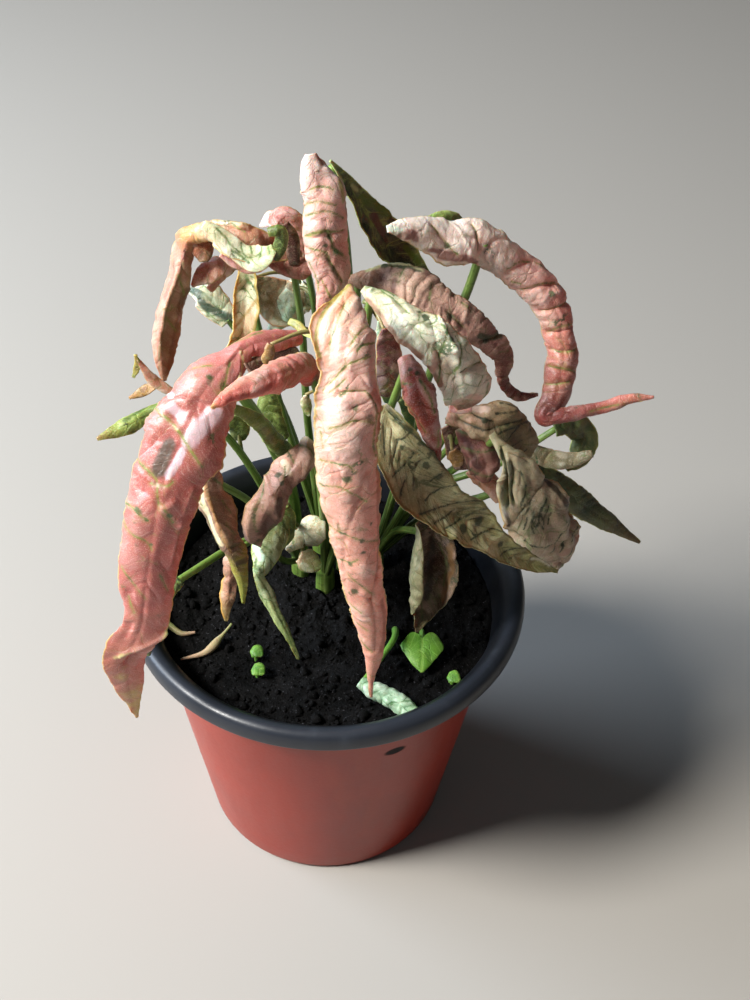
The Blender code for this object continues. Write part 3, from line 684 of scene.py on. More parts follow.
# %% The big pink leaf at the front
leaf("leaf_front_hanging", "leaf_pink",
     [(5.9, -20, 217.1), (6, -27.3, 217.9), (5.5, -33.9, 216.2), (6.4, -38.7, 212.1), (6.9, -42, 207.8),
      (6.9, -45.1, 202.2), (6.4, -47.5, 194.7), (6.5, -49.1, 185.4), (8, -50.5, 173.8), (9.7, -51, 160.5),
      (11.6, -51, 146.7), (13.6, -50.5, 135), (14.5, -49.6, 122.2), (14.2, -48.1, 108.9), (14.4, -47, 99.4)],
     [0.9, 4.6, 8.8, 8.2, 7.8, 9, 9, 9, 9, 7.4, 6.5, 5.7, 3.8, 1.4, 0.3], [65],
     {0: "d8ac84", 0.16: "ecb8a8", 0.3: "ecb8ac", 0.5: "e8a898", 0.8: "e69c88", 1: "d89480"},
     # band 0 is the olive strip of the folded lobe; bands 1 and 2 are painted shade on the fold at the top
     # and on the right margin folded back.
     (("8d8a38", 0.85), ("c07c5e", 0.6), ("a86854", 0.75)),
     turn=[10, 5, 0, 0, 0, 5, 0], roll=((-60, -110, -100, -60, 0, 0, 0, 0, 0), (0,)), wave=0.03, veins=7.5,
     rib=(-1, -1, -1, -0.6, 0.6, 1, 1), slant=(0.9, 0.7, 0.5, 0.3, 0.5), swell=0.45, quilt=0.12,
     crumple=0.3, size=8, frill=0.7,
     look=dict(deep="c28a7c", pale_share=0.55, flecks=0.1, net=0.2, vein_show=0.35, skin=0.5, painted_hollow_shade=0.35,
               lift=0.15),
     strokes=[(375, 323, 357, 335, 350, 347), (370, 357, 345, 366, 324, 390), (345, 380, 330, 392),
       (340, 393, 353, 391, 366, 392), (330, 428, 344, 423, 357, 420, 374, 422),
       (320, 459, 345, 463, 353, 470), (320, 483, 342, 488, 367, 502),
       (327, 525, 340, 532, 360, 540, 378, 540), (348, 574, 360, 584, 373, 595), (350, 602, 361, 612),
       (358, 622, 368, 630), (322, 431, 324, 447), (374, 343, 362, 346, 357, 352),
       (366, 392, 375, 410, 374, 455), (345, 303, 337, 322, 330, 345), (340, 560, 350, 563, 358, 560),
       (362, 640, 372, 652)],
     spots=[(356, 408, 1), (362, 346, 0.6), (347, 480, 1.2), (341, 534, 0.6), (361, 541, 0.6),
       (371, 523, 0.5), (350, 564, 0.7), (363, 552, 0.4), (354, 592, 1)],
     dents=[(359, 374, 2.5, 2, 0.7), (356, 408, 1.6, 1.6, 0.5), (347, 480, 2, 2, 0.4),
       (335, 410, 4, 3, -0.5), (345, 445, 5, 4, -0.5), (360, 500, 3, 2, 0.5), (345, 515, 4, 2, -0.4),
       (365, 570, 4, 2, -0.4), (357, 592, 2, 1.5, 0.4), (330, 470, 4, 2, 0.4)],
     folds=[(360, 298, 337, 355, 0.9, 0.35), (370, 312, 350, 368, 0.9, 0.3),
       (352, 295, 328, 350, 0.8, -0.3), (366, 305, 342, 362, 0.8, -0.25), (340, 393, 366, 392, 0.6, -0.7),
       (366, 392, 376, 412, 0.6, 0.6), (376, 412, 374, 455, 0.6, 0.5), (381, 545, 372, 600, 0.6, -0.6),
       (372, 600, 375, 650, 0.6, -0.5), (330, 440, 345, 470, 0.7, 0.4), (380, 398, 384, 430, 0.5, 0.5)],
     stripes=[(0, 0.45, 350, 282, 338, 296, 326, 310, 317, 330, 316, 345, 320, 357),
       (1, 0.7, 352, 293, 340, 306, 330, 323, 327, 343, 325, 365),
       (2, 0.8, 375, 392, 381, 408, 382, 425, 378, 440), (2, 0.6, 376, 470, 378, 500, 379, 540, 376, 580),
       (2, 0.6, 381, 600, 384, 625, 381, 650)])

# %% The arching leaf at the left
leaf("leaf_left_arch", "leaf_pink",
     [(-5.8, -14, 197.6), (-11.3, -19.3, 200), (-16.9, -24.5, 202.1), (-20.8, -28.6, 201.5),
      (-24.8, -33.4, 199.6), (-27.6, -37.1, 197.2), (-29.6, -40.7, 193.7), (-32.1, -44.7, 188.9),
      (-35.6, -49, 182.1), (-38.2, -52.4, 172.8), (-40.3, -54.4, 161.9), (-42.4, -56.3, 149.1),
      (-44.7, -57, 135.7), (-49.1, -56.2, 122.8), (-50.3, -54.2, 107.6), (-50.2, -52, 93.1)],
     [2.2, 3.6, 3.5, 4.9, 7.7, 9.3, 10.8, 12.2, 11.2, 10.1, 9.1, 8.2, 7.1, 5.5, 3.5, 0.3],
     [60, 60, 60, 60, 60, 60, 60, 60, 60, 60, 58, 55, 45, 25, 25, 20],
     {0: "b8645e", 0.2: "c47a76", 0.34: "ae685e", 0.5: "9c5248", 0.72: "ac5c54", 0.93: "b07460",
      1: "b0a858"},
     # band 0 is a cream margin near the tip; band 1 is painted shadow in the big dent, band 2 a painted
     # bluish-white sheen beside it.
     (("d8cc90", 0.85), ("4c463a", 0.9), ("e4e2ee", 0.4)),
     turn=[0, 0, 0, 0, 0, 0, 0, 0, 0, 0, 5, 10, 15, 30, 20, 10], wave=0.04, joint=0.24,
     sides=((1, 1, 1, 1, 1, 1, 1, 1, 1, 1, 1, 1, 0.72, 1.2, 1.15, 1), (1,)), veins=7, slant=(0.9,),
     swell=0.8, quilt=0.2, crumple=0.3, size=8, wrinkle=0.05,
     look=dict(veins=6, pale_share=0.12, flecks=0.05, net=0.12, coat=0.2, vein_show=0.25, skin=0.3,
               painted_hollow_shade=0.45, lift=0.1, edge_width=0.04),
     strokes=[(230, 362, 225, 382, 219, 394), (195, 369, 212, 366),
       (163, 413, 178, 430, 190, 448, 202, 466), (134, 455, 146, 470, 156, 484, 159, 505),
       (124, 502, 136, 508, 149, 520), (150, 483, 165, 487, 172, 483),
       (123, 518, 131, 531, 145, 540, 152, 551), (123, 566, 135, 586, 146, 600), (127, 598, 134, 613),
       (165, 509, 173, 522), (262, 333, 245, 338, 228, 344), (150, 405, 162, 412), (160, 575, 168, 590)],
     spots=[(140, 509, 1), (168, 515, 0.7), (209, 378, 0.8), (147, 520, 0.5), (151, 545, 0.4)],
     dents=[(165, 457, 8, 4.6, 1.5), (143, 492, 2.4, 2, 1.2), (175, 415, 2.4, 2, 1),
       (152, 430, 3, 2.6, -0.7), (205, 432, 6, 4, -0.6), (140, 520, 4, 2.4, -0.6), (147, 545, 2, 1.6, 0.6),
       (165, 500, 5, 2.5, -0.5), (145, 590, 5, 3, -0.4), (200, 385, 3, 3, -0.5), (160, 560, 6, 2, 0.5)],
     folds=[(193, 490, 180, 525, 0.9, 0.6), (180, 525, 170, 565, 0.9, 0.6), (163, 413, 178, 430, 0.6, 0.4),
       (178, 430, 202, 466, 0.6, 0.4), (240, 345, 225, 365, 0.8, 0.5), (166, 632, 120, 655, 0.7, 1.3),
       (160, 642, 124, 663, 0.9, -1.1), (134, 455, 156, 484, 0.7, -0.5), (241, 352, 238, 380, 0.6, 0.6)],
     stripes=[(0, 0.35, 168, 628, 152, 645, 135, 650, 115, 657), (1, 1.8, 168, 446, 163, 457, 157, 470),
       (2, 0.7, 165, 388, 172, 396), (2, 1.8, 214, 414, 200, 428, 190, 440),
       (2, 1, 182, 452, 176, 464, 168, 476), (2, 1.2, 172, 408, 182, 416),
       (0, 0.2, 241, 352, 243, 365, 238, 378)])

# %% The small coral leaf beside it
leaf("leaf_left_small", "leaf_pink",
     [(-1.4, -20, 189), (-4.8, -27.1, 197.3), (-9.3, -33.7, 201.1), (-13.7, -38.9, 202.4),
      (-18.4, -43.2, 203.3), (-21.9, -46, 202.5), (-24.2, -48, 201.7)],
     [4.4, 5.1, 5.2, 3.8, 2.9, 2, 0.3], [75],
     {0: "a85650", 0.3: "e6948a", 0.6: "e68a7e", 0.85: "dc7464", 1: "a8a050"},
     (("d39a86", 0.6), ("8a3428", 0.7)),
     veins=4, crumple=0.28, size=5,
     look=dict(pale_share=0.4, flecks=0.02, net=0.1, vein_show=0.3),
     stripes=[(0, 0.6, 225, 393, 245, 380, 265, 368, 285, 355), (1, 0.6, 228, 401, 250, 395, 270, 386),
       (1, 1.4, 312, 352, 318, 375, 318, 392)])

# %% [markdown]
# Beside the front leaf hang a cream one that crumpled as it dried and a short coral one. The creases of
# the cream leaf could be left to the random hills. But the eye goes to them first, so each deep one is a
# fold among its marks, and only the fine ones between them are random.

# %% The cream leaf and the coral one
leaf("leaf_right_cream", "leaf_cream",
     [(8.8, -12, 210.9), (12.9, -14.5, 209.3), (17.1, -17.5, 207.3), (21.1, -20.3, 205.4),
      (25, -22.2, 202.6), (28.8, -23, 199.1), (32, -22.8, 194.9), (34.8, -22, 190.1), (37.1, -20.5, 185.2),
      (38.1, -18.5, 181.2)],
     [1, 3, 4.4, 5.6, 6.2, 6.5, 7, 7.4, 7.4, 5.2], [45],
     {0: "d5cfa6", 0.4: "e8e2ca", 0.6: "f2e4d4", 0.86: "f0d8c8", 0.96: "d0a490", 1: "9a6a58"},
     (("a57f68", 0.9), ("6b8a5a", 0.6), ("e0b4a4", 0.7)),
     wave=0.06, lean=[1.2, 0.9, 0.88, 0.75, 0.7, 0.78, 0.85, 0.97, 1], veins=5, frill=1, facet=0.15,
     look=dict(pale_share=0.6, flecks=0.15, vein_show=0.5, painted_hollow_shade=0.4),
     strokes=[(418, 320, 420, 312, 428, 309, 436, 313, 437, 320, 430, 324, 423, 322),
       (441, 324, 448, 333, 452, 344), (447, 328, 443, 346, 440, 364, 437, 384),
       (460, 372, 470, 366, 481, 362), (470, 400, 476, 386, 481, 376), (381, 292, 395, 302, 409, 314),
       (393, 296, 385, 291, 377, 291), (455, 336, 459, 350, 456, 372), (484, 396, 487, 384)],
     spots=[(427, 317, 1), (420, 311, 0.6), (450, 340, 0.7), (446, 334, 0.5), (372, 291, 0.6)],
     dents=[(427, 317, 2, 2, 0.6), (436, 350, 7, 2, 0.9), (450, 345, 7, 1.6, -0.7),
       (425, 335, 5, 2.4, -0.5), (466, 350, 5, 2, -0.5), (455, 375, 5, 1.8, 0.7), (470, 385, 5, 2, -0.6)],
     folds=[(440, 312, 452, 350, 0.7, 0.8), (452, 350, 462, 395, 0.7, 0.8), (430, 318, 440, 364, 0.6, -0.7),
       (440, 364, 442, 392, 0.6, -0.6), (460, 372, 481, 362, 0.6, -0.6), (390, 300, 420, 345, 0.9, 0.5),
       (476, 386, 470, 402, 0.6, -0.6)],
     stripes=[(0, 1.1, 368, 302, 376, 322, 396, 340, 418, 356), (0, 0.8, 428, 368, 440, 385),
       (1, 0.35, 362, 286, 372, 284, 384, 286, 398, 294), (2, 1, 455, 404, 465, 396, 478, 398),
       (2, 0.8, 432, 372, 436, 355), (1, 0.25, 456, 330, 459, 350, 455, 375)])
leaf("leaf_coral", "leaf_pink",
     [(19.3, -23, 199.3), (21.6, -28.5, 197.5), (23.5, -32.1, 193.7), (25.5, -33.8, 188),
      (27.7, -34.1, 181.4), (29.1, -34, 176.2)],
     [2.4, 4.3, 5.5, 4.2, 2.5, 0.3], [75],
     {0: "b85848", 0.4: "b05040", 0.8: "a84838", 1: "923e32"},
     (("5a2622", 0.7),),
     veins=4.5, crumple=0.28, size=5,
     look=dict(deep="6e2f2c", pale_share=0.05, flecks=0.05, net=0.15, vein_show=0.3),
     strokes=[(404, 402, 414, 416, 426, 432), (437, 430, 438, 447), (403, 383, 412, 385),
       (420, 380, 428, 396, 434, 412)],
     spots=[(410, 371, 0.5), (416, 374, 0.45), (404, 384, 0.4)],
     folds=[(404, 402, 426, 432, 0.6, -0.5), (420, 380, 434, 412, 0.7, 0.4)],
     stripes=[(0, 0.7, 434, 375, 438, 395, 440, 420), (0, 0.5, 399, 380, 403, 395)])

# %% Long and crumpled leaves at the right
leaf("leaf_right_long", "leaf_cream",
     [(14.8, -27, 187.2), (16.6, -31, 184), (19.6, -35, 178.5), (24.4, -36.9, 170.9), (30.8, -37.3, 163.3),
      (37.6, -36.7, 157.8), (44.2, -35.3, 150.1), (51.5, -33, 142.1), (58, -30.8, 137), (63.3, -29, 133.3)],
     [1, 4.3, 6.7, 7.7, 6.6, 6.2, 4.3, 3, 1.9, 0.2], [-45],
     {0: "8a8058", 0.4: "a8a478", 0.8: "a2a266", 1: "74743c"},
     (("34321c", 0.8), ("cfc89c", 0.6), ("ece8d4", 0.7)),
     wave=0.06, veins=4.5, slant=(1.8,), crumple=0.45, size=7, quilt=0.3, facet=0.15,
     look=dict(pale="dcd6b0", deep="6a6038", vein_colour="48562c", fleck="2c3a1e", edge="66602c",
               edge_width=0.1, pale_share=0.4, flecks=0.2, net=0.2, vein_show=0.7, ink_colour="2c3420"),
     strokes=[(389, 412, 404, 428, 419, 441, 432, 454), (391, 477, 404, 465, 412, 457),
       (413, 490, 413, 472, 419, 462, 429, 457), (430, 481, 441, 475),
       (420, 515, 445, 505, 463, 502, 481, 504), (445, 528, 465, 518, 487, 510), (404, 480, 400, 498),
       (382, 425, 384, 455), (396, 440, 404, 438, 412, 430), (470, 540, 490, 530, 505, 530),
       (500, 556, 515, 548, 526, 550), (433, 523, 455, 510), (395, 452, 398, 440),
       (425, 500, 440, 488, 458, 486)],
     spots=[(426, 466, 1.2), (439, 477, 1), (479, 521, 1.4), (463, 529, 1.3), (403, 447, 0.7),
       (420, 445, 0.8), (410, 430, 0.7), (396, 419, 0.9), (430, 455, 0.6), (500, 545, 0.9)],
     dents=[(426, 466, 2, 2, 0.6), (479, 521, 2, 2, 0.6), (463, 529, 1.8, 1.8, 0.5), (400, 460, 5, 3, -0.5)],
     folds=[(389, 412, 432, 454, 0.6, -0.5), (432, 454, 481, 504, 0.7, -0.4),
       (420, 515, 481, 504, 0.5, -0.35), (445, 528, 487, 510, 0.5, -0.35)],
     stripes=[(0, 0.5, 388, 407, 408, 429, 433, 452, 450, 470), (1, 0.7, 427, 496, 440, 504, 454, 511),
       (1, 0.7, 468, 523, 482, 532, 495, 541), (1, 0.6, 395, 430, 400, 455),
       (2, 0.35, 531, 558, 541, 560, 551, 562)])
leaf("leaf_right_crumpled", "leaf_cream",
     [(43.6, -10, 164.9), (46.7, -13, 162.3), (50.8, -16.5, 157.7), (53.2, -18.8, 152), (57, -20.8, 147.7),
      (60.6, -22, 141.2), (64.3, -20.1, 132.3), (66.4, -17, 122.6)],
     [1, 2.2, 5.9, 8.4, 11.1, 11.2, 9.4, 3.9], [55],
     {0: "cabb90", 0.35: "b4a284", 0.7: "a68c76", 1: "987c6c"},
     # band 1 is painted shadow in the deep folds; band 0 is partly the pale rolled edge and partly a painted
     # highlight on the folds.
     (("ccbc9c", 0.85), ("2a2418", 0.85), ("a87e6e", 0.7)),
     wave=0.12, waves=4, veins=5, crumple=0.5, size=5, frill=1.2, facet=0.3,
     look=dict(pale="d8ccb0", deep="5c4c38", fleck="2c361e", edge="b89058", edge_width=0.05,
               pale_share=0.35, flecks=0.2, vein_show=0.5, ink_colour="2e3422"),
     strokes=[(500, 447, 502, 465, 505, 490, 504, 508), (511, 462, 513, 482, 511, 502),
       (521, 472, 526, 490, 521, 507), (551, 553, 560, 535, 570, 515, 576, 508),
       (546, 500, 541, 511, 544, 526), (531, 504, 525, 516), (525, 540, 536, 545, 551, 545),
       (515, 530, 526, 538), (566, 555, 574, 540, 580, 528), (525, 505, 522, 512, 517, 520),
       (541, 508, 538, 520, 543, 530), (549, 506, 547, 514, 544, 520), (534, 512, 531, 522, 534, 532),
       (528, 518, 524, 527), (552, 514, 549, 526), (564, 541, 560, 552), (577, 527, 570, 541)],
     spots=[(524, 511, 0.5), (540, 516, 0.7), (546, 510, 0.5), (538, 525, 0.6), (563, 545, 0.5),
       (571, 535, 0.4)],
     dents=[(506, 490, 6, 1.6, 1.5), (516, 480, 6, 1.5, -0.8), (530, 480, 4, 2, 0.8),
       (540, 505, 3, 3, -0.6), (555, 530, 5, 1.5, 0.7), (570, 545, 4, 3, -0.4)],
     folds=[(502, 447, 506, 505, 0.6, -1.8), (512, 462, 513, 502, 0.6, -1), (507, 455, 510, 500, 0.6, 1.2),
       (521, 472, 521, 507, 0.6, -0.6), (541, 487, 520, 515, 0.7, -0.9), (551, 553, 576, 508, 0.6, -0.6)],
     stripes=[(1, 0.55, 501, 452, 504, 484, 503, 508, 509, 526), (1, 0.3, 508, 462, 510, 490, 511, 505),
       (0, 1, 514, 456, 520, 480, 517, 500), (0, 0.7, 531, 474, 538, 486),
       (1, 0.9, 546, 480, 561, 495, 567, 504), (2, 1.4, 561, 552, 574, 545, 580, 530),
       (0, 0.4, 496, 440, 497, 470, 497, 495)])

# %% [markdown]
# ## The top of the plant
# Two leaves stand highest. The pink one has rolled itself into a loose tube, so both of its halves bend by
# 85 degrees. The dark one behind it shows little more than its edge. It could be a flat card, but from the
# side a card would vanish, so it is a full blade too.

# %% The rolled pink leaf and the dark one behind it
leaf("leaf_top_rolled", "leaf_pink",
     [(-4.5, 3, 237.8), (-3.8, 1.7, 234.5), (-1.7, -0.1, 230.2), (-1.1, -1.5, 225), (-0.8, -2.5, 219.3),
      (-0.3, -3.1, 213.1), (-0.1, -3.1, 206.4), (-1.4, -3, 200.9), (-2.9, -3, 196.3)],
     [1.7, 4.6, 7.5, 8, 8.1, 8, 7, 3.8, 0.5], [85],
     {0: "f0c6bc", 0.4: "ecb0a6", 0.8: "de9e94", 1: "c88a80"},
     (("a0a255", 0.8), ("8a5a3c", 0.8), ("3f5230", 0.75)),
     veins=5, crumple=0.32,
     look=dict(deep="be7a70", painted_hollow_shade=0.35, pale_share=0.4, flecks=0.05, net=0.15, vein_show=0.3),
     strokes=[(303, 206, 316, 201, 336, 204), (304, 216, 325, 211, 344, 218),
       (305, 236, 320, 232, 344, 230), (326, 231, 332, 243, 334, 250, 344, 256),
       (307, 247, 318, 249, 327, 255, 331, 263, 336, 272, 342, 281), (310, 262, 316, 275, 318, 290),
       (322, 280, 326, 290, 331, 298), (309, 190, 320, 187, 333, 190)],
     spots=[(330, 237, 0.9), (338, 253, 0.9), (333, 268, 0.7), (326, 246, 0.5)],
     dents=[(330, 240, 3, 2, 0.7), (315, 225, 4, 3, -0.5), (338, 262, 4, 2, 0.6)],
     folds=[(305, 236, 344, 230, 0.7, -0.5), (307, 247, 331, 263, 0.6, -0.5),
       (331, 263, 342, 281, 0.6, -0.5), (304, 216, 344, 218, 0.8, -0.4), (325, 170, 345, 195, 0.6, 0.6)],
     stripes=[(0, 0.5, 322, 160, 331, 170, 339, 185, 343, 200), (1, 0.5, 317, 154, 321, 164),
       (1, 0.4, 346, 200, 348, 240), (2, 0.45, 326, 232, 332, 243, 336, 250, 343, 255),
       (2, 0.3, 326, 256, 331, 268, 338, 276), (0, 0.3, 306, 237, 318, 232, 328, 231)])
leaf("leaf_top_dark", "leaf_green",
     [(-0.5, 14, 230), (3.1, 15, 224.2), (7.1, 16.7, 216.5), (11.1, 18.9, 208.7), (14.9, 20.5, 201.7),
      (19.8, 21, 197.2), (26.5, 20, 192.7)],
     [0.3, 1.9, 3.5, 5.4, 5.8, 4.3, 0.3], [-45],
     {0: "93a06a", 0.12: "3c4f32", 0.5: "222e1f", 1: "2c3a26"},
     # band 0 is a painted highlight where the dark blade catches the light.
     (("52751c", 0.9), ("5e3428", 0.85), ("b8c890", 0.85)),
     turn=[20], veins=5, crumple=0.28,
     look=dict(pale_share=0.1),
     strokes=[(360, 200, 372, 225), (352, 190, 362, 215)],
     stripes=[(0, 1.3, 362, 198, 376, 204, 388, 213), (1, 1, 372, 216, 378, 226, 382, 232),
       (2, 0.5, 330, 162, 334, 170, 342, 182), (0, 0.7, 405, 248, 418, 262), (2, 0.4, 352, 185, 356, 190)])

# %% [markdown]
# One blade arches over to the right and is pleated across by dark lines. The pleats could be drawn in the
# finish alone. Here each is a low fold of the surface too, so the window shades it from any side.

# %% The leaf that arches to the right
leaf("leaf_right_arch", "leaf_pink",
     [(14, 0, 220), (18.5, 1.6, 219.6), (24.3, 3.8, 217.1), (30.6, 6.2, 213.8), (36.5, 8.5, 212.6),
      (41.7, 10.3, 209.1), (47.3, 11.9, 203.7), (52.6, 12.3, 199), (57.1, 11.9, 194), (59.9, 11, 188.4),
      (61.6, 9.4, 182.4), (62.5, 7.6, 177.8), (61.8, 5, 172.4), (61, 2.4, 167.9), (58.7, -0.5, 163.6),
      (66.3, -0.4, 165.1), (74.6, 2.9, 164.9), (81.4, 4.6, 166.7), (88.1, 6, 166.4)],
     [1, 3.2, 5.4, 7.6, 7.6, 7.2, 7, 7.2, 7.2, 6.4, 6.4, 6, 5.9, 5.3, 3.9, 2.7, 2.3, 2.1, 0.4],
     [60, 70, 80, 80, 80, 80],
     # The ramp is near white at the lit top and dark maroon at the kink: partly painted light and partly
     # painted shade. band 1 is painted shade under the rolled edge at the base.
     {0: "fbe4da", 0.22: "fcdcd0", 0.4: "f2b8ac", 0.54: "cc8678", 0.64: "a45e50", 0.72: "6e2c26",
      0.79: "742e28", 0.85: "b4605a", 0.92: "c87a70", 1: "8a5a34"},
     (("dfe8d4", 0.85), ("7d4c40", 0.8), ("f2dfd4", 0.7)),
     joint=0.25, veins=7, slant=(0.1,), frill=1.4,
     look=dict(deep="a4564c", painted_hollow_shade=0.35, lift=0.2, pale_share=0.35, flecks=0.03, net=0.12, vein_show=0.25),
     strokes=[(507, 268, 518, 262, 532, 261), (521, 289, 535, 285, 550, 282, 561, 283),
       (512, 281, 521, 283), (541, 311, 555, 308, 570, 300), (547, 332, 560, 326, 576, 323),
       (550, 350, 562, 352, 577, 349), (549, 366, 564, 368, 575, 372), (545, 384, 557, 385, 570, 381),
       (432, 225, 446, 241, 457, 255), (471, 224, 478, 236, 478, 250), (590, 412, 605, 407, 618, 405),
       (535, 262, 548, 271)],
     spots=[(551, 294, 0.8), (447, 246, 0.7)],
     folds=[(521, 289, 561, 283, 0.7, -0.8), (541, 311, 570, 300, 0.7, -0.9),
       (507, 270, 532, 261, 0.7, -0.7), (547, 332, 576, 323, 0.7, -0.6), (550, 350, 577, 349, 0.7, -0.6),
       (549, 367, 575, 372, 0.7, -0.6), (545, 384, 570, 381, 0.7, -0.6), (540, 296, 560, 292, 0.8, 0.5),
       (432, 225, 457, 255, 0.8, -0.6), (471, 224, 478, 250, 0.8, -0.6), (450, 222, 470, 252, 0.9, 0.5)],
     stripes=[(0, 1, 388, 228, 396, 231, 404, 236), (1, 1.1, 398, 238, 410, 234, 417, 238),
       (2, 0.35, 419, 233, 421, 245, 419, 258), (1, 0.9, 440, 256, 455, 258, 475, 262),
       (1, 0.6, 430, 250, 450, 254), (2, 0.6, 512, 262, 508, 268)])

# %% Brown and beige leaves under the arch
leaf("leaf_right_pleated", "leaf_brown",
     [(4.5, 6.5, 200.4), (9.2, 5.8, 201.3), (14.6, 4.6, 201.7), (21.4, 2.9, 201.2), (27.7, 1.1, 197.5),
      (34, 0.6, 193.8), (40.6, 1.2, 188.5), (45.9, 3.6, 180.3), (47.2, 6.8, 169.2), (51.9, 9.3, 162.6),
      (57.4, 11, 161.8)],
     [1.2, 3.2, 5.6, 7, 6.3, 5.6, 4.5, 3.3, 1.8, 1.6, 0.5], [50],
     {0: "a07c66", 0.3: "ac8a7a", 0.6: "9a6e64", 0.82: "74342c", 1: "642a24"},
     (("c6c898", 0.8), ("38422a", 0.85), ("5a3630", 0.7)),
     wave=0.05, veins=2.9, slant=(0.35,), crumple=0.28, quilt=0.75, frill=1,
     look=dict(veins=3.5, pale_share=0.4, flecks=0.1, vein_show=0.4),
     strokes=[(383, 266, 400, 267, 420, 267), (447, 312, 456, 320, 464, 328),
       (481, 342, 492, 339, 501, 331), (461, 303, 470, 312), (500, 352, 508, 350), (404, 268, 398, 284),
       (431, 284, 430, 300)],
     spots=[(385, 267, 1), (400, 267, 0.8), (450, 316, 1), (486, 341, 1)],
     folds=[(481, 342, 501, 331, 0.7, -1), (447, 312, 464, 328, 0.7, -0.8), (372, 270, 368, 288, 0.8, 0.6),
       (466, 306, 458, 330, 0.8, 0.6)],
     stripes=[(0, 0.7, 368, 270, 385, 265, 405, 265, 420, 270), (1, 0.8, 480, 336, 490, 338, 500, 334),
       (1, 0.4, 385, 266, 405, 268, 418, 272), (2, 0.7, 455, 318, 465, 330), (2, 0.5, 395, 280, 392, 295),
       (2, 0.5, 432, 288, 425, 305)])
leaf("leaf_right_beige", "leaf_brown",
     [(32.1, -3, 166), (39.3, -5.6, 165.9), (45.9, -5.9, 164.3), (50.7, -5, 160.1), (54.1, -3.8, 155),
      (55.3, -3, 151.1)],
     [3.4, 5.3, 7.4, 7.5, 4.5, 1], [55],
     {0: "ac7c6a", 0.5: "a08a66", 1: "94805c"},
     (("dcc0b0", 0.8), ("6a4a3c", 0.6)),
     wave=0.1, veins=3.5, facet=0.3,
     look=dict(pale="c8b494", deep="5a4a34", pale_share=0.25, flecks=0.1, vein_show=0.5,
               ink_colour="2f3026"),
     strokes=[(458, 420, 475, 427, 490, 430, 506, 424, 522, 419), (472, 413, 481, 419, 494, 421),
       (500, 405, 515, 408, 525, 418, 529, 430), (497, 434, 512, 428, 526, 422),
       (505, 442, 515, 430, 521, 423), (495, 415, 506, 413, 519, 409), (509, 447, 522, 440),
       (515, 455, 526, 449)],
     spots=[(485, 420, 0.8), (507, 424, 0.7), (518, 410, 0.5)],
     dents=[(472, 412, 3, 2, -0.8), (485, 425, 4, 1.5, 0.8), (510, 420, 4, 2, -0.4)],
     folds=[(458, 420, 490, 430, 0.6, -0.7), (490, 430, 522, 419, 0.6, -0.6),
       (472, 413, 494, 421, 0.6, -0.6), (500, 405, 525, 418, 0.6, 0.5)],
     stripes=[(0, 1, 456, 407, 470, 408, 486, 410), (1, 0.8, 512, 440, 520, 450),
       (1, 0.5, 452, 418, 480, 428)])
leaf("leaf_right_inner", "leaf_brown",
     [(37.6, -5, 163.7), (39.9, -7.8, 160.6), (41.8, -10, 156.9), (42.9, -11.5, 152.6), (43.6, -12, 149.4)],
     [4.4, 5.5, 5.3, 4.6, 1.4], [50],
     {0: "6e3834", 0.4: "8e5850", 1: "74463c"},
     (("4a2422", 0.8), ("b88a7c", 0.6)),
     wave=0.1, veins=4, crumple=0.28, facet=0.5, facet_size=4,
     look=dict(under="6a3c34", pale="b8887c", pale_share=0.2, vein_show=0.4),
     strokes=[(458, 428, 470, 435, 491, 440), (462, 447, 476, 452, 494, 450),
       (472, 470, 484, 476, 498, 474)],
     stripes=[(0, 0.8, 460, 432, 470, 448, 478, 465), (1, 0.8, 485, 450, 490, 475)])

# %% Dark leaves at the far right
leaf("leaf_back_right", "leaf_green",
     [(66, 25, 138), (71, 29, 137), (76, 30, 131), (75, 28, 125), (71, 25, 122)],
     [2.5, 4, 4.4, 3.6, 0.8], [40],
     {0: "5f6f3c", 0.6: "4c5a34", 1: "6a6a3c"},
     veins=4.5,
     look=dict(vein_colour="5e6c3a", pale="7c8450", pale_share=0.15, net=0.15, vein_show=0.4))
leaf("leaf_right_dark", "leaf_green",
     [(58, 4, 139), (67, 5, 132), (80, 7, 120), (94, 10, 107)],
     [3, 4.5, 3.5, 0.5], [40],
     {0: "4c5c34", 0.6: "4c5634", 1: "6d5a34"},
     veins=4.5,
     look=dict(vein_colour="66723e", pale="7c8450", pale_share=0.15, net=0.15, vein_show=0.4))

# %% [markdown]
# ## The left and the back
# At the far left a long blade drapes over the others, cream above and pink where it hangs, so its ramp has
# many stops. The leaves behind it show only in slivers. There the colour matters more than the veins, and
# they get few marks.

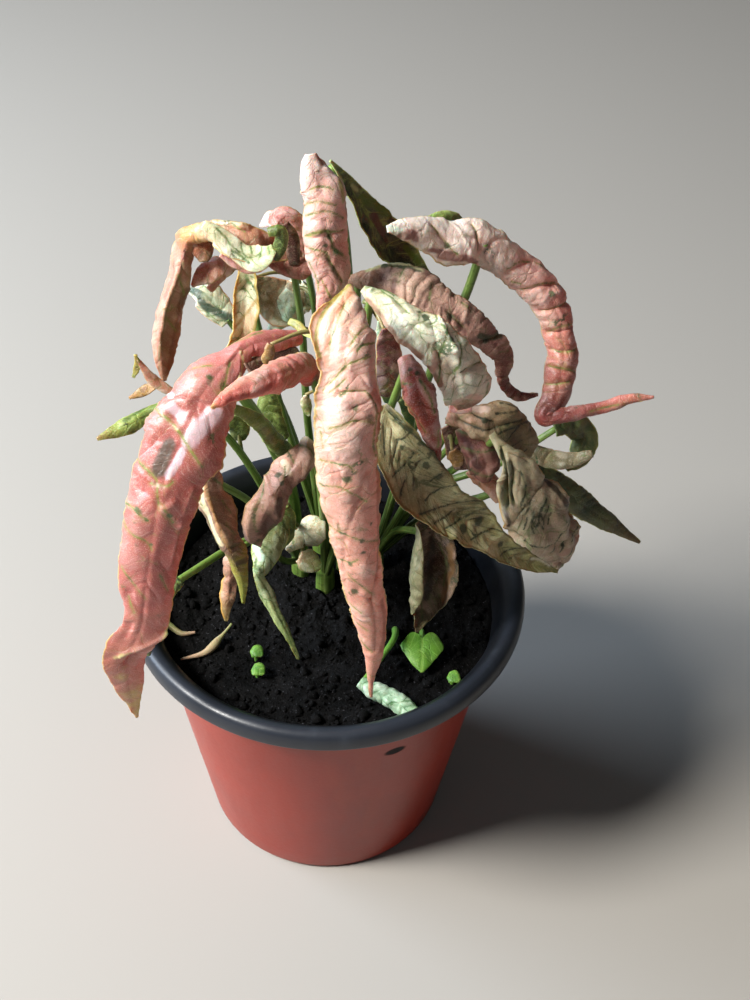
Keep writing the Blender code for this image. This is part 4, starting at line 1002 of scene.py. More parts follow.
# %% The long draped leaf at the far left
leaf("leaf_far_left", "leaf_pink",
     [(-7.6, 12, 203.5), (-11.8, 10, 206.1), (-17.8, 7, 209), (-23.3, 6, 211.3), (-29.9, 9, 212.5),
      (-36.2, 12, 207.7), (-38.3, 13, 200.9), (-40.6, 13, 193.7), (-43.9, 13, 185.3), (-45.5, 11, 178.2),
      (-45.9, 9, 172.6), (-45.4, 8, 164.2)],
     [1.2, 2.4, 4.6, 4.9, 3.2, 3.6, 5.83, 7.4, 6.2, 6.2, 4.8, 0.6],
     [20, -20, -40, -30, 35, 40, 30, 20, 15, 15, 15, 15],
     {0: "7c4f40", 0.12: "a06a54", 0.25: "b98a6c", 0.36: "d6c09a", 0.42: "d09c56", 0.47: "b8764e",
      0.58: "b88272", 0.8: "a46e5e", 1: "8a5e42"},
     # band 0 is a painted highlight on the face of the fold turned to the window, band 1 painted shade on
     # the face turned away.
     (("c0907c", 0.7), ("74422f", 0.75), ("7a6a44", 0.7)),
     fold=(0, 0, 0, 0, 5, 20, 40, 48, 50, 50, 45, 20), lean=[1, 1, 1, 1, 0.9, 1.13, 1.38, 1.38, 0.98, 0.78,
     0.7, 0.71], veins=5, swell=0.3, frill=1,
     look=dict(pale="e4c0ac", pale_share=0.25, flecks=0.05, net=0.2, vein_show=0.4),
     strokes=[(232, 222, 245, 232), (178, 275, 183, 295), (165, 318, 175, 330)],
     folds=[(180, 262, 162, 330, 0.5, 0.5), (205, 226, 250, 232, 1, -0.8)],
     stripes=[(0, 1.6, 172, 270, 166, 285, 160, 310), (0, 1, 157, 325, 156, 350, 157, 372),
       (1, 1.6, 186, 290, 180, 315, 174, 345, 172, 370),
       (2, 0.25, 183, 262, 177, 284, 168, 304, 162, 330, 160, 370), (1, 1.2, 262, 240, 275, 250),
       (2, 0.3, 212, 220, 240, 218, 255, 226)])
leaf("leaf_left_twisted", "leaf_cream",
     [(-22, 14, 197), (-22.2, 12, 191), (-22.6, 8, 186.5), (-23.6, 4, 182.5), (-26, 1, 179.5),
      (-29.8, -1, 176)],
     [2.4, 3.6, 3.7, 3.2, 2.6, 0.6], [-40, -45, -40, -20, 20, 20],
     {0: "c4c69a", 0.2: "e4dcc0", 0.45: "e2d2b0", 0.6: "e4c8a4", 0.85: "e6cca8", 1: "9aa860"},
     (("a88436", 0.7), ("dcae86", 0.6), ("5c7a3c", 0.8)),
     turn=[0, 10, 20, 40, 60, 60], veins=4, frill=0.8,
     look=dict(edge="b8963c", edge_width=0.2),
     stripes=[(0, 0.35, 236, 278, 233, 300, 236, 317), (1, 1.2, 251, 318, 245, 332),
       (2, 0.4, 246, 276, 249, 284), (0, 0.3, 256, 300, 245, 316, 234, 328)])

# %% Pale leaves at the back
leaf("leaf_back_left", "leaf_cream",
     [(-30, 34, 166), (-34, 36, 170), (-38, 38, 173), (-42, 40, 172)],
     [3, 5, 4.5, 0.8], [40],
     {0: "b4b498", 1: "c6c8b0"},
     (("2c4434", 0.9), ("9aa88c", 0.7)),
     veins=4.5,
     look=dict(rib_colour="4c6134"),
     stripes=[(0, 1.1, 193, 290, 203, 303, 216, 312, 232, 320), (1, 1, 205, 296, 225, 306)])
leaf("leaf_left_rose", "leaf_pink",
     [(-24, 18, 199), (-29, 19, 194), (-33, 19, 187)],
     [1.8, 2.6, 1.2], [50],
     {0: "c08870", 1: "b87c64"},
     veins=4,
     look=dict(flecks=0, net=0.1, vein_show=0.2))
leaf("leaf_back_middle", "leaf_cream",
     [(-8, 33, 180), (-12, 35, 173), (-16, 37, 164)],
     [2.5, 6, 1], [45],
     {0: "cfd2b4", 1: "d8d0b4"},
     wave=0.1, veins=4.5)

# %% Green tips, and a pink leaf between them
leaf("leaf_left_tip", "leaf_green",
     [(-40, -3, 166), (-46.1, -3.6, 163.5), (-49.7, -6, 162.8), (-54.6, -9, 161.3), (-60.8, -12, 159.7)],
     [1.6, 2.3, 3, 2.6, 0.4], [35],
     {0: "55663a", 0.4: "7a8c3c", 0.8: "8c9448", 1: "8a6a40"},
     (("3c5424", 0.7),),
     fold=(10, 20, 20, 15, 0), veins=4, frill=1,
     look=dict(edge="b8bc50", pale_share=0.4),
     stripes=[(0, 0.5, 145, 408, 125, 422)])
leaf("leaf_back_pink", "leaf_pink",
     [(-9, 19, 206), (-13, 23, 207), (-17, 27, 205), (-20, 31, 200)],
     [2, 3.2, 3, 0.6], [45],
     {0: "dca8a4", 0.6: "f0c4c0", 1: "e8b8b4"},
     veins=4)
leaf("leaf_back_tip", "leaf_green",
     [(24, 38, 198), (29, 41, 198), (34, 45, 195), (37, 49, 189)],
     [1.5, 2.4, 2.2, 0.5], [40],
     {0: "5a7038", 1: "7a8a44"},
     veins=4)

# %% [markdown]
# ## The lower leaves
# Under the bright leaves hang older ones, brown and folded, with flat faces that meet in sharp edges. The
# faces could be modelled one by one. Here facets() lays them by chance, the same ones in every run.

# %% Drooping leaves over the soil
leaf("leaf_left_inner", "leaf_green",
     [(-39, -31, 127), (-44, -35, 123), (-47, -38, 114), (-48, -39, 104)],
     [2.5, 4, 3.5, 0.6], [60],
     {0: "4c5c34", 1: "3c4a2c"},
     veins=4.5)
leaf("leaf_brown_folded", "leaf_brown",
     [(-2.2, -16, 163.9), (-5.3, -20.2, 163), (-8.9, -24.5, 161.4), (-12.3, -28, 157.8),
      (-15.7, -30.2, 150.4), (-18.7, -30, 139.8)],
     [4.33, 5.46, 5.86, 5.13, 5.16, 2.53], [25, 20, 10, 10, 10, 10],
     {0: "d0a894", 0.35: "c49684", 0.65: "a87a6a", 1: "a87c6e"},
     # band 0 is a painted highlight on the lit top, band 1 painted shade on the lower faces and in the
     # creases.
     (("dcc4a8", 0.7), ("4a2c22", 0.7), ("b08c7a", 0.6)),
     fold=(20, 35, 35, 30, 25, 10), lean=[1.01, 1.18, 1.23, 1.05, 1.01, 1.07], veins=4.5, crumple=0.15,
     size=9, swell=0.1, frill=0.4, facet=0.35, facet_size=8,
     look=dict(pale="ccac94", pale_share=0.3, flecks=0.1, vein_show=0.25),
     strokes=[(288, 452, 293, 461), (266, 472, 262, 490, 257, 512, 258, 530), (285, 466, 284, 480),
       (252, 546, 264, 540, 275, 526), (300, 445, 310, 455)],
     spots=[(290, 456, 0.7), (279, 475, 0.9), (282, 484, 0.7), (258, 541, 0.6), (268, 538, 0.5)],
     dents=[(290, 470, 4, 3, -0.8), (262, 500, 5, 2, 0.9), (255, 525, 3, 2, -0.7)],
     folds=[(266, 476, 275, 500, 0.7, 1.2), (275, 500, 278, 516, 0.7, 1), (256, 505, 254, 528, 0.6, 0.8),
       (258, 502, 252, 540, 1, 1.4), (298, 442, 290, 472, 1.4, -1.6), (310, 438, 300, 476, 1.2, 1.4)],
     stripes=[(0, 1, 302, 436, 312, 442), (0, 0.8, 284, 462, 290, 474), (1, 1.2, 272, 518, 262, 532),
       (1, 0.8, 306, 470, 300, 482), (2, 0.7, 262, 500, 256, 520), (1, 1, 279, 500, 276, 520, 266, 538),
       (0, 0.5, 250, 545, 252, 549), (2, 0.9, 266, 490, 268, 510)])

# %% The lowest leaves
leaf("leaf_lower_left", "leaf_brown",
     [(-29.5, -28, 163.9), (-29.5, -29, 157.9), (-28.5, -31, 154.1), (-26.9, -33, 149.7),
      (-24.6, -35, 144.8), (-22.9, -35.5, 139.8), (-21.2, -35, 131), (-21.4, -34, 121.6)],
     [2.25, 4.77, 6.54, 6.5, 4.64, 3.79, 1.78, 0.31], [15, 15, 15, 15, 20, 25, 25, 20],
     {0: "96705c", 0.3: "86604c", 0.5: "785644", 0.66: "6a4c38", 0.74: "93902e", 1: "8c9a34"},
     (("dccfa8", 0.9), ("a87c40", 0.6), ("40302a", 0.7)),
     fold=(20, 35, 42, 45, 40, 30, 15, 5), lean=[0.58, 1.01, 0.81, 0.69, 0.74, 0.61, 0.93, 1.03], veins=4.5,
     crumple=0.3, size=7, swell=0.2, frill=0.8, facet=0.15,
     look=dict(pale_share=0.25, vein_show=0.4, flecks=0.05),
     strokes=[(199, 495, 203, 505), (205, 515, 210, 526), (215, 480, 222, 486), (222, 500, 230, 512),
       (225, 525, 236, 534), (214, 536, 220, 545)],
     folds=[(205, 482, 230, 545, 0.6, 0.6), (212, 470, 225, 510, 0.7, -0.5)],
     stripes=[(0, 1, 203, 484, 203, 500, 209, 517, 221, 542),
       (1, 0.35, 205, 482, 210, 502, 218, 525, 231, 553), (2, 0.8, 246, 560, 238, 563)])
leaf("leaf_lower_green", "leaf_green",
     [(-13.5, -12, 136.1), (-14.2, -18, 134.6), (-15.7, -24, 132.4), (-16.6, -28, 130.4),
      (-17.4, -31, 130.5), (-15.4, -33, 125.3), (-13.4, -35, 121.2), (-10.7, -37, 116.6),
      (-8.3, -38.5, 111.8), (-6.1, -39.5, 105.5)],
     [3.9, 4.9, 4.6, 2.8, 1.6, 2.5, 2.1, 1.7, 0.9, 0.4], [35, 35, 30, 30, 30, 30, 30, 25, 20, 20],
     {0: "5f6034", 0.2: "8a8c58", 0.36: "bcd0ac", 0.5: "b4c088", 0.8: "a4b470", 1: "84964c"},
     # band 1 is a painted highlight near the top of the blade.
     (("5c5a2c", 0.8), ("c4dcc4", 0.8), ("3f5c28", 0.8)),
     fold=(0, 0, 10, 20, 25, 25, 25, 20, 10, 0), veins=4.5, frill=0.9,
     look=dict(pale="dfe8c4", vein_colour="5c7438", deep="4c5c2c", pale_share=0.4, flecks=0.25),
     strokes=[(256, 562, 268, 592, 292, 645), (258, 520, 270, 528, 282, 524), (262, 545, 272, 552)],
     folds=[(256, 560, 290, 645, 0.5, -0.5)],
     stripes=[(0, 0.9, 288, 515, 286, 530, 278, 548), (1, 0.9, 256, 546, 262, 558),
       (2, 0.3, 272, 572, 282, 600, 294, 640)])
leaf("leaf_lower_dry", "leaf_brown",
     [(-25, -24, 131.5), (-25.4, -27, 127.9), (-25.7, -29, 122.1), (-26.7, -30, 115.8), (-27, -30, 109.6)],
     [1.3, 2.8, 2.9, 2, 0.5], [15, 20, 25, 25, 20],
     {0: "8a5c48", 0.5: "b08068", 1: "8a7a3c"},
     (("c9963c", 0.8),),
     fold=(20, 35, 35, 20, 5), lean=[0.83, 0.9, 0.98, 1.09, 0.98], veins=4, crumple=0.3, size=5, frill=0.8,
     facet=0.5, facet_size=4,
     look=dict(pale_share=0.3, vein_show=0.3),
     stripes=[(0, 0.4, 221, 575, 221, 600, 220, 618)])
leaf("leaf_lower_right", "leaf_brown",
     [(31, -9, 128.9), (29.5, -13.7, 124.8), (28.9, -16.8, 119.4), (29.3, -18.8, 113.7),
      (28.6, -20.1, 107.5), (27.1, -22, 98.8)],
     [5.6, 8.8, 10.4, 9, 4.6, 0.4], ([-60, -150, -165, -150, -120, -60], [20, -40, -60, -60, -30]),
     {0: "4a3826", 0.4: "4c3a26", 1: "5c5030"},
     # band 2 is painted shade in the hollow of the blade folded lengthwise.
     (("b4b48c", 0.6), ("80603a", 0.8), ("33271c", 0.7)),
     sides=((1.1, 1.35, 1.4, 1.3, 1.1), (0.8, 0.9, 0.95, 0.9, 0.9)), wave=0.04, veins=4.5, crumple=0.4,
     size=5, swell=0.3, facet=0.4, facet_size=5,
     look=dict(under="94946c", deep="2c1f16", flecks=0.2, under_share=0.85, pale_share=0.15, vein_show=0.4),
     strokes=[(412, 552, 409, 570, 413, 590), (440, 545, 446, 565, 444, 585), (420, 600, 422, 618)],
     spots=[(412, 560, 0.8), (408, 575, 0.7)],
     dents=[(430, 560, 6, 2.5, 1.2)],
     stripes=[(0, 0.7, 406, 552, 404, 572, 408, 592), (1, 0.9, 450, 545, 451, 570, 444, 598),
       (2, 1, 432, 540, 430, 570, 426, 596)])
leaf("leaf_inner_cream", "leaf_cream",
     [(-5, -6, 120), (-8, -8, 121), (-11, -11, 119)],
     [1.6, 3, 0.8], [40],
     {0: "e0d8b8", 1: "d8ccae"},
     veins=4)

# %% [markdown]
# Young plants came up between the old stalks: a mint leaf that curls round, a heart-shaped one and three
# tiny ones. They are fresh, so they are nearly smooth, bright, and turned up to the light. The lobes of
# the heart are the blade's own points, pushed back beside the stalk.

# %% The young leaves over the soil
ALMOST_UP = (0, -0.3, 0.95)
leaf("leaf_mint", "leaf_mint",
     [(11, -36, 92.5), (14.2, -38, 91.5), (19.4, -40.2, 90.4), (23.9, -42.4, 89), (28.4, -44.6, 88)],
     [2.6, 4.2, 4.7, 4, 1.8], [85, 95, 95, 80, 50],
     {0: "9cc498", 0.5: "bcd8ba", 1: "9cc090"},
     veins=3.2, size=3.5,
     look=dict(veins=4))
leaf("seedling_heart", "seedling_green",
     [(29, -18, 91.2), (29, -20.2, 91.3), (29, -22.6, 90.6), (29, -25.4, 89.4), (29, -28, 87.9)],
     [5.4, 6.4, 5.5, 3.2, 0.4], [20],
     {0: "5e962a", 0.6: "649c2e", 1: "528224"},
     face=ALMOST_UP, veins=3.5, crumple=0.07, lobe=2.8, frill=0.2,
     look=dict(pale_share=0.3, flecks=0, net=0.1, rib_colour="8cb850"))
for name, x, y in (("seedling_left_a", -20, -22), ("seedling_left_b", -19, -29),
                   ("seedling_right", 38, -29)):
    leaf(name, "seedling_green",
         [(x - 1.3, y + 0.8, 87.7), (x - 0.2, y + 0.1, 88.2), (x + 1, y - 0.7, 88),
          (x + 2, y - 1.4, 87.3)],
         [1.3, 2.3, 1.9, 0.5], [20], {0: "58902e", 1: "4c8028"}, face=ALMOST_UP, veins=3.0,
         crumple=0.03,
     look=dict(flecks=0.0))
print("leaves:", len(JOINTS), "with", sum(len(p.data.polygons) for p in PIECES.values()), "faces")

# %% [markdown]
# ## Small leaves between the large ones
# A dying plant keeps many scraps: young leaves that never opened, torn corners, dried tips, buds. They fill
# the gaps, and without them the bare stalks would show. Two of them are dark sheets that stand only for the
# shade deep among the leaves: painted shade. None of them is big enough to be a solid of its own. Each has
# a colour, a curl, its depth behind the front at one place or at both ends, its path as the front shows it,
# and its half-widths. A short stalk is added to most of them below.

# %% Colour families of the small leaves
SMALL = dict(
    maroon=("leaf_pink", {0: "562a30", 0.5: "64363e", 1: "442226"}, 0.05),
    mint=("leaf_cream", {0: "a4d4bc", 1: "b4d8c0"}, 0.2),
    dark=("leaf_green", {0: "3f6a3c", 1: "2f5230"}, 0.1),
    olive=("leaf_green", {0: "a09a50", 1: "b0924a"}, 0.1),
    gold=("leaf_brown", {0: "8a6428", 1: "a07c3c"}, 0.2),
    umber=("leaf_brown", {0: "4e2c22", 1: "3c241c"}, 0.05),
    peach=("leaf_pink", {0: "c0866a", 0.6: "c48c74", 1: "d8a890"}, 0.3),
    pinkish=("leaf_pink", {0: "dca09c", 1: "e2b0a8"}, 0.4),
    salmon=("leaf_brown", {0: "8a5044", 0.5: "a8685a", 1: "b87a68"}, 0.2),
    greygreen=("leaf_cream", {0: "7a7254", 1: "827a60"}, 0.1),
    mintpale=("leaf_cream", {0: "c4ccb0", 0.6: "b8d4be", 1: "ccd4bc"}, 0.4),
    olivedark=("leaf_green", {0: "5a6a2c", 0.5: "46561f", 1: "3c4a20"}, 0.15),
    drape=("leaf_cream", {0: "dcdcb4", 0.4: "dfdcc0", 0.8: "d4dcb0", 1: "8a9a50"}, 0.5),
    # rust fades to olive-brown towards its end: partly painted shade where the blade folds under.
    rust=("leaf_brown", {0: "d08a50", 0.35: "b8603c", 0.7: "8a5034", 1: "6a5a30"}, 0.1),
    strap=("leaf_green", {0: "7c9434", 0.3: "5c7a24", 0.7: "3c5418", 1: "35481a"}, 0.1),
    bud=("leaf_cream", {0: "c0a488", 0.5: "98a060", 1: "748c40"}, 0.2),
    creamy=("leaf_cream", {0: "c4bfa4", 1: "b8b294"}, 0.3),
)
small_finish = {
    kind: leaf_finish("small_" + kind, stops, **KINDS[slot], veins=4.5, pale_share=pale_share,
                      flecks=0.08, net=0.25, vein_show=0.4)
    for kind, (slot, stops, pale_share) in SMALL.items()}
print("kinds of small leaf:", len(SMALL))

# %% The small leaves
BITS = dict(
    maroon=("maroon", 40, (-17.5, -15), [(14.2, 203), (14.9, 199.6), (15.5, 195.7), (15.8, 190.4),
        (15.9, 185), (16.2, 180.1)], [0.5, 2.4, 3.3, 3.5, 3.3, 2.6]),
    mint_bit=("mint", 30, -12, [(13, 201.4), (14.2, 197.8), (14.1, 194.7)], [0.6, 2, 1.3]),
    green_bit=("dark", 40, -10, [(14.8, 181.2), (16.5, 177.7), (17, 174.1)], [1.2, 3, 2.2]),
    olive_strip=("olive", 30, (-18, -24), [(-8.7, 204.7), (-6.4, 205), (-4.6, 204.5), (-2.6, 204.6)],
        [0.8, 1.1, 0.8, 0.4]),
    gold_drop=("gold", 60, -38, [(-11.4, 212.5), (-11.9, 210), (-12.6, 208.4), (-12.5, 207)], [0.9, 1.5,
        1.3, 0.6]),
    # painted shade: a dark sheet under the arching leaf, standing for its shadow
    arch_lining=("umber", 30, (-30, -18), [(-17.8, 199.1), (-14.6, 198), (-10.1, 197.2), (-6.5, 195.9)],
        [1.7, 2.4, 1.7, 1.5]),
    peach=("peach", 35, 17, [(-27.4, 197.8), (-30.4, 196), (-34.2, 193.2), (-37.2, 189.6)], [1.2, 3, 3,
        0.6]),
    rose_edge=("pinkish", 50, 4, [(-27.3, 208.5), (-24, 206.3), (-20.8, 204.3), (-17.2, 204.8)], [0.8,
        1.5, 1.2, 1.1]),
    salmon=("salmon", 45, 7, [(-16, 204.6), (-11.4, 203.6), (-6.7, 203.2), (-4.6, 203)], [0.8, 2.5, 3.1,
        1.4]),
    grey_back=("greygreen", 40, 26, [(-22.4, 187.1), (-20, 183.3), (-14.4, 179.2), (-9.7, 179.6),
        (-7.6, 179)], [0.9, 4.1, 7, 5.1, 0.9]),
    mint_back=("mintpale", 40, 24, [(-11.4, 184.2), (-12.8, 179.9), (-14.6, 175.1), (-17.5, 170.5)], [1.7,
        3.2, 3.2, 1.5]),
    pink_behind=("pinkish", 45, 16, [(-16.3, 211.9), (-13, 211.6), (-10, 207.4), (-8.4, 201.8),
        (-7.8, 198.1)], [1.2, 4.3, 5.2, 3.1, 0.7]),
    brown_curl=("umber", 60, 7, [(-11.5, 215.8), (-10.1, 211.7), (-9.4, 207.4), (-9.1, 203.9)], [1.5, 2.5,
        2, 1.7]),
    drape_curl=("olivedark", 60, 1, [(-15, 217.3), (-12.6, 218), (-11.8, 216.3), (-12.4, 212.7),
        (-13.7, 209.4)], [1.3, 1.8, 1.9, 2, 1.4]),
    drape_flap=("drape", 25, (5, 1), [(-31.2, 216.5), (-28.4, 214.8), (-25, 211.9), (-21.9, 209.5),
        (-18.6, 208.8), (-15.9, 210.1), (-13.8, 212.6)], [1, 1.9, 2.5, 2.7, 3.6, 2.6, 1.2]),
    drape_kink=("rust", 60, (15, 12), [(-34.8, 209.1), (-33.8, 206.2), (-33.2, 203), (-32.9, 200.6)],
        [2.6, 3.8, 3.5, 1.4]),
    dry_tip_a=("peach", 30, 0, [(-41.4, 166.6), (-44, 168.4), (-46.8, 171), (-48.6, 174.2),
        (-50.2, 177.5)], [0.8, 1.4, 1.5, 1, 0.4]),
    dry_tip_b=("gold", 30, (0, 0, 0, 0.2), [(-53.6, 164.3), (-51.2, 165.8), (-48.6, 167.6),
        (-45.6, 169.3)], [0.3, 1.1, 1.5, 0.8]),
    grey_lobe=("greygreen", 45, 23, [(59.4, 130.3), (65.4, 127.8), (71.9, 127.7), (77.6, 130.6)], [3.1,
        3.3, 2.6, 1.3]),
    green_mass=("olivedark", 45, (-4, -8), [(-15.7, 171.4), (-15.6, 167), (-14.1, 162.7), (-11.7, 157.9)],
        [1.8, 3.6, 3.3, 2.5]),
    strap=("strap", 70, (-34, -8), [(-23.3, 190.8), (-20.1, 185), (-16.5, 177.3), (-13.9, 168.2),
        (-11.1, 158.3), (-9.5, 145.4)], [1.4, 1.6, 2.5, 2.8, 3, 2.7]),
    bud_a=("bud", 70, -2, [(-6.1, 169), (-5.9, 166.3), (-5.5, 163.7), (-5, 162)], [0.5, 1.9, 1.8, 0.5]),
    olive_round=("olivedark", 60, -13, [(-11.2, 138.1), (-10.7, 133.4), (-11.4, 127.9), (-14.3, 122.1)],
        [1.2, 2.7, 2.8, 2.7]),
    cream_blob=("creamy", 50, -6, [(-8.2, 121.5), (-6.1, 122), (-3.2, 122.8), (-0.3, 123.1)], [1.7, 4.6,
        4.8, 2.6]),
    bud_b=("bud", 70, -13, [(-7.4, 118.7), (-5.1, 117.2), (-2.4, 115.9), (-1.1, 115.5)], [1.9, 4.2, 3.2,
        0.8]),
    tan_tube=("peach", 65, -7, [(39.3, 149.8), (42.8, 147), (46.3, 142.4), (48.3, 137.5)], [2.3, 3.7, 3.2,
        1.5]),
    # painted shade: a dark sheet filling the shaded gap among the leaves at the right
    dark_core=("umber", 30, (-2, -6), [(33, 161), (36, 155.9), (37.4, 151.7), (37.6, 148.1)], [3, 4.5,
        4.5, 2.9]),
    gold_bit=("gold", 50, -12, [(33.6, 160.1), (34.8, 157.3), (35.5, 154.7)], [1.1, 2.2, 1.4]),
    green_inside=("dark", 40, (2, 8), [(20, 165.8), (22, 158.2), (22.9, 149.9)], [1.5, 1.9, 0.9]),
    pink_peek=("pinkish", 40, -14, [(31.6, 176.7), (34.4, 176.5), (37.5, 176.6)], [1.4, 1.7, 1.1]),
    leaf_shade=("olivedark", 40, 4, [(-26.6, 155.8), (-25.2, 151.3), (-25.1, 147)], [1.9, 3.4, 2.1]),
    dry_tip_c=("olive", 30, 0, [(-51.9, 171.5), (-50.9, 173.9), (-50.4, 176.4), (-50.6, 179)], [0.3, 0.9,
        0.8, 0.3]),
)
BIT_MARKS = dict(
    drape_flap=dict(
        strokes=[(226, 236, 231, 245, 240, 253), (240, 243, 243, 251, 247, 258),
          (262, 244, 262, 252, 258, 260), (247, 258, 255, 257, 262, 252), (232, 250, 240, 256, 250, 263),
          (250, 246, 252, 253), (216, 228, 224, 236), (268, 246, 270, 254)],
        folds=[(205, 222, 235, 250, 0.6, 0.4), (235, 250, 252, 266, 0.6, 0.4)]),
)
for name, (kind, curl, depth, path, width) in BITS.items():
    depth = number(depth, np.linspace(0, 1, len(path))).round(1)
    path = [(x, y, z) for (x, z), y in zip(path, depth)]
    leaf("bit_" + name, SMALL[kind][0], path, width, [curl], finish=small_finish[kind], veins=4.5,
         swell=0.25, size=4, frill=0.5, **BIT_MARKS.get(name, {}))
print("small leaves:", len(BITS))

# %% [markdown]
# ## Stalks
# Each leaf hangs on its own stalk. A stalk is a tube whose rings stand square to its way. It starts in the
# stem and ends in the blade, at the joint that the blade's own curve gives. The stem of a shoot is one more,
# thicker tube. All tubes of a shoot are one mesh.

# %% A tube with a fine skin
def tube(path, radii, sides=14, rows=44, groove=0.0, seed=0.0):
    """Points, faces and stored values of a closed round stalk, in millimetres."""
    path = [np.array(p, float) for p in path]
    t = np.linspace(0, 1, rows + 1)
    centre = along(path, t)
    tangent = unit(along(path, t + 0.01) - along(path, t - 0.01))
    across = [unit(np.cross(tangent[0], (0.31, 0.93, 0.2)))]
    for way in tangent[1:]:
        across.append(unit(across[-1] - way * float(across[-1] @ way)))
    across = np.array(across)
    other = np.cross(tangent, across)
    a = np.linspace(0, math.tau, sides, endpoint=False)
    r = number(radii, t)[:, None] * (1 + 0.05 * hills(t[:, None] * 14, np.cos(a), seed))
    r = r * (1 - groove * np.exp(-(((a - math.pi) / 0.5) ** 2)))
    ring = across[:, None] * np.cos(a)[:, None] + other[:, None] * np.sin(a)[:, None]
    points = (centre[:, None] + ring * r[..., None]).reshape(-1, 3)
    k = np.arange(sides)
    first = (np.arange(rows)[:, None] * sides + k).reshape(-1)
    second = (np.arange(rows)[:, None] * sides + (k + 1) % sides).reshape(-1)
    faces = np.stack([first, second, second + sides, first + sides], 1).tolist()
    faces.append(list(range(sides))[::-1])
    faces.append(list(range(rows * sides, (rows + 1) * sides)))
    length = np.concatenate([[0], np.cumsum(np.linalg.norm(np.diff(centre, axis=0), axis=1))])
    span = np.stack(np.broadcast_arrays(length[:, None], a, seed), -1).reshape(-1, 3)
    share = np.stack(np.broadcast_arrays(t[:, None], np.cos(a), 0.0), -1).reshape(-1, 3)
    return points, faces, span, share


def tubes_mesh(name, parts):
    """One mesh of several tubes."""
    points, lists, spans, shares = zip(*parts)
    starts = np.cumsum([0] + [len(some) for some in points])
    faces = [[k + int(start) for k in face] for start, some in zip(starts, lists) for face in some]
    mesh = bpy.data.meshes.new(name)
    mesh.from_pydata((np.concatenate(points) * MM).tolist(), [], faces)
    mesh.shade_smooth()
    for key, values in (("span", spans), ("share", shares)):
        mesh.attributes.new(key, "FLOAT_VECTOR", "POINT")
        mesh.attributes[key].data.foreach_set("vector", np.concatenate(values).reshape(-1))
    return mesh


def stalk_finish(name, low, high, dark, pale, gloss=0.4):
    """Long fibres and dark spots on a ramp from the low colour at the base to the high colour at the tip."""
    f = Finish(name)
    run, round_, seed = f.split(f.read("span"))
    share = f.split(f.read("share"))[0]
    fibres = f.grain(f.join(run * 0.05, round_ * 3.0, seed), 1.0, 3.0, 0.6)
    spots = f.grain(f.join(run * 0.6, round_, seed), 1.0, 2.0, 0.6)
    colour = f.mix(share, low, high)
    colour = f.mix(fibres.rise(0.45, 0.65) * 0.6, colour, pale)
    colour = f.mix(spots.rise(0.55, 0.7) * 0.5, colour, dark)
    return f.wear(base_color=colour, roughness=gloss + (fibres - 0.5) * 0.2,
                  normal=f.bumps(fibres, 0.4, 0.0003), subsurface_weight=0.1,
                  subsurface_scale=0.002)


print("a tube of 4 rows has", len(tube([(0, 0, 0), (0, 0, 1)], [1, 1], 6, 4)[1]), "faces")

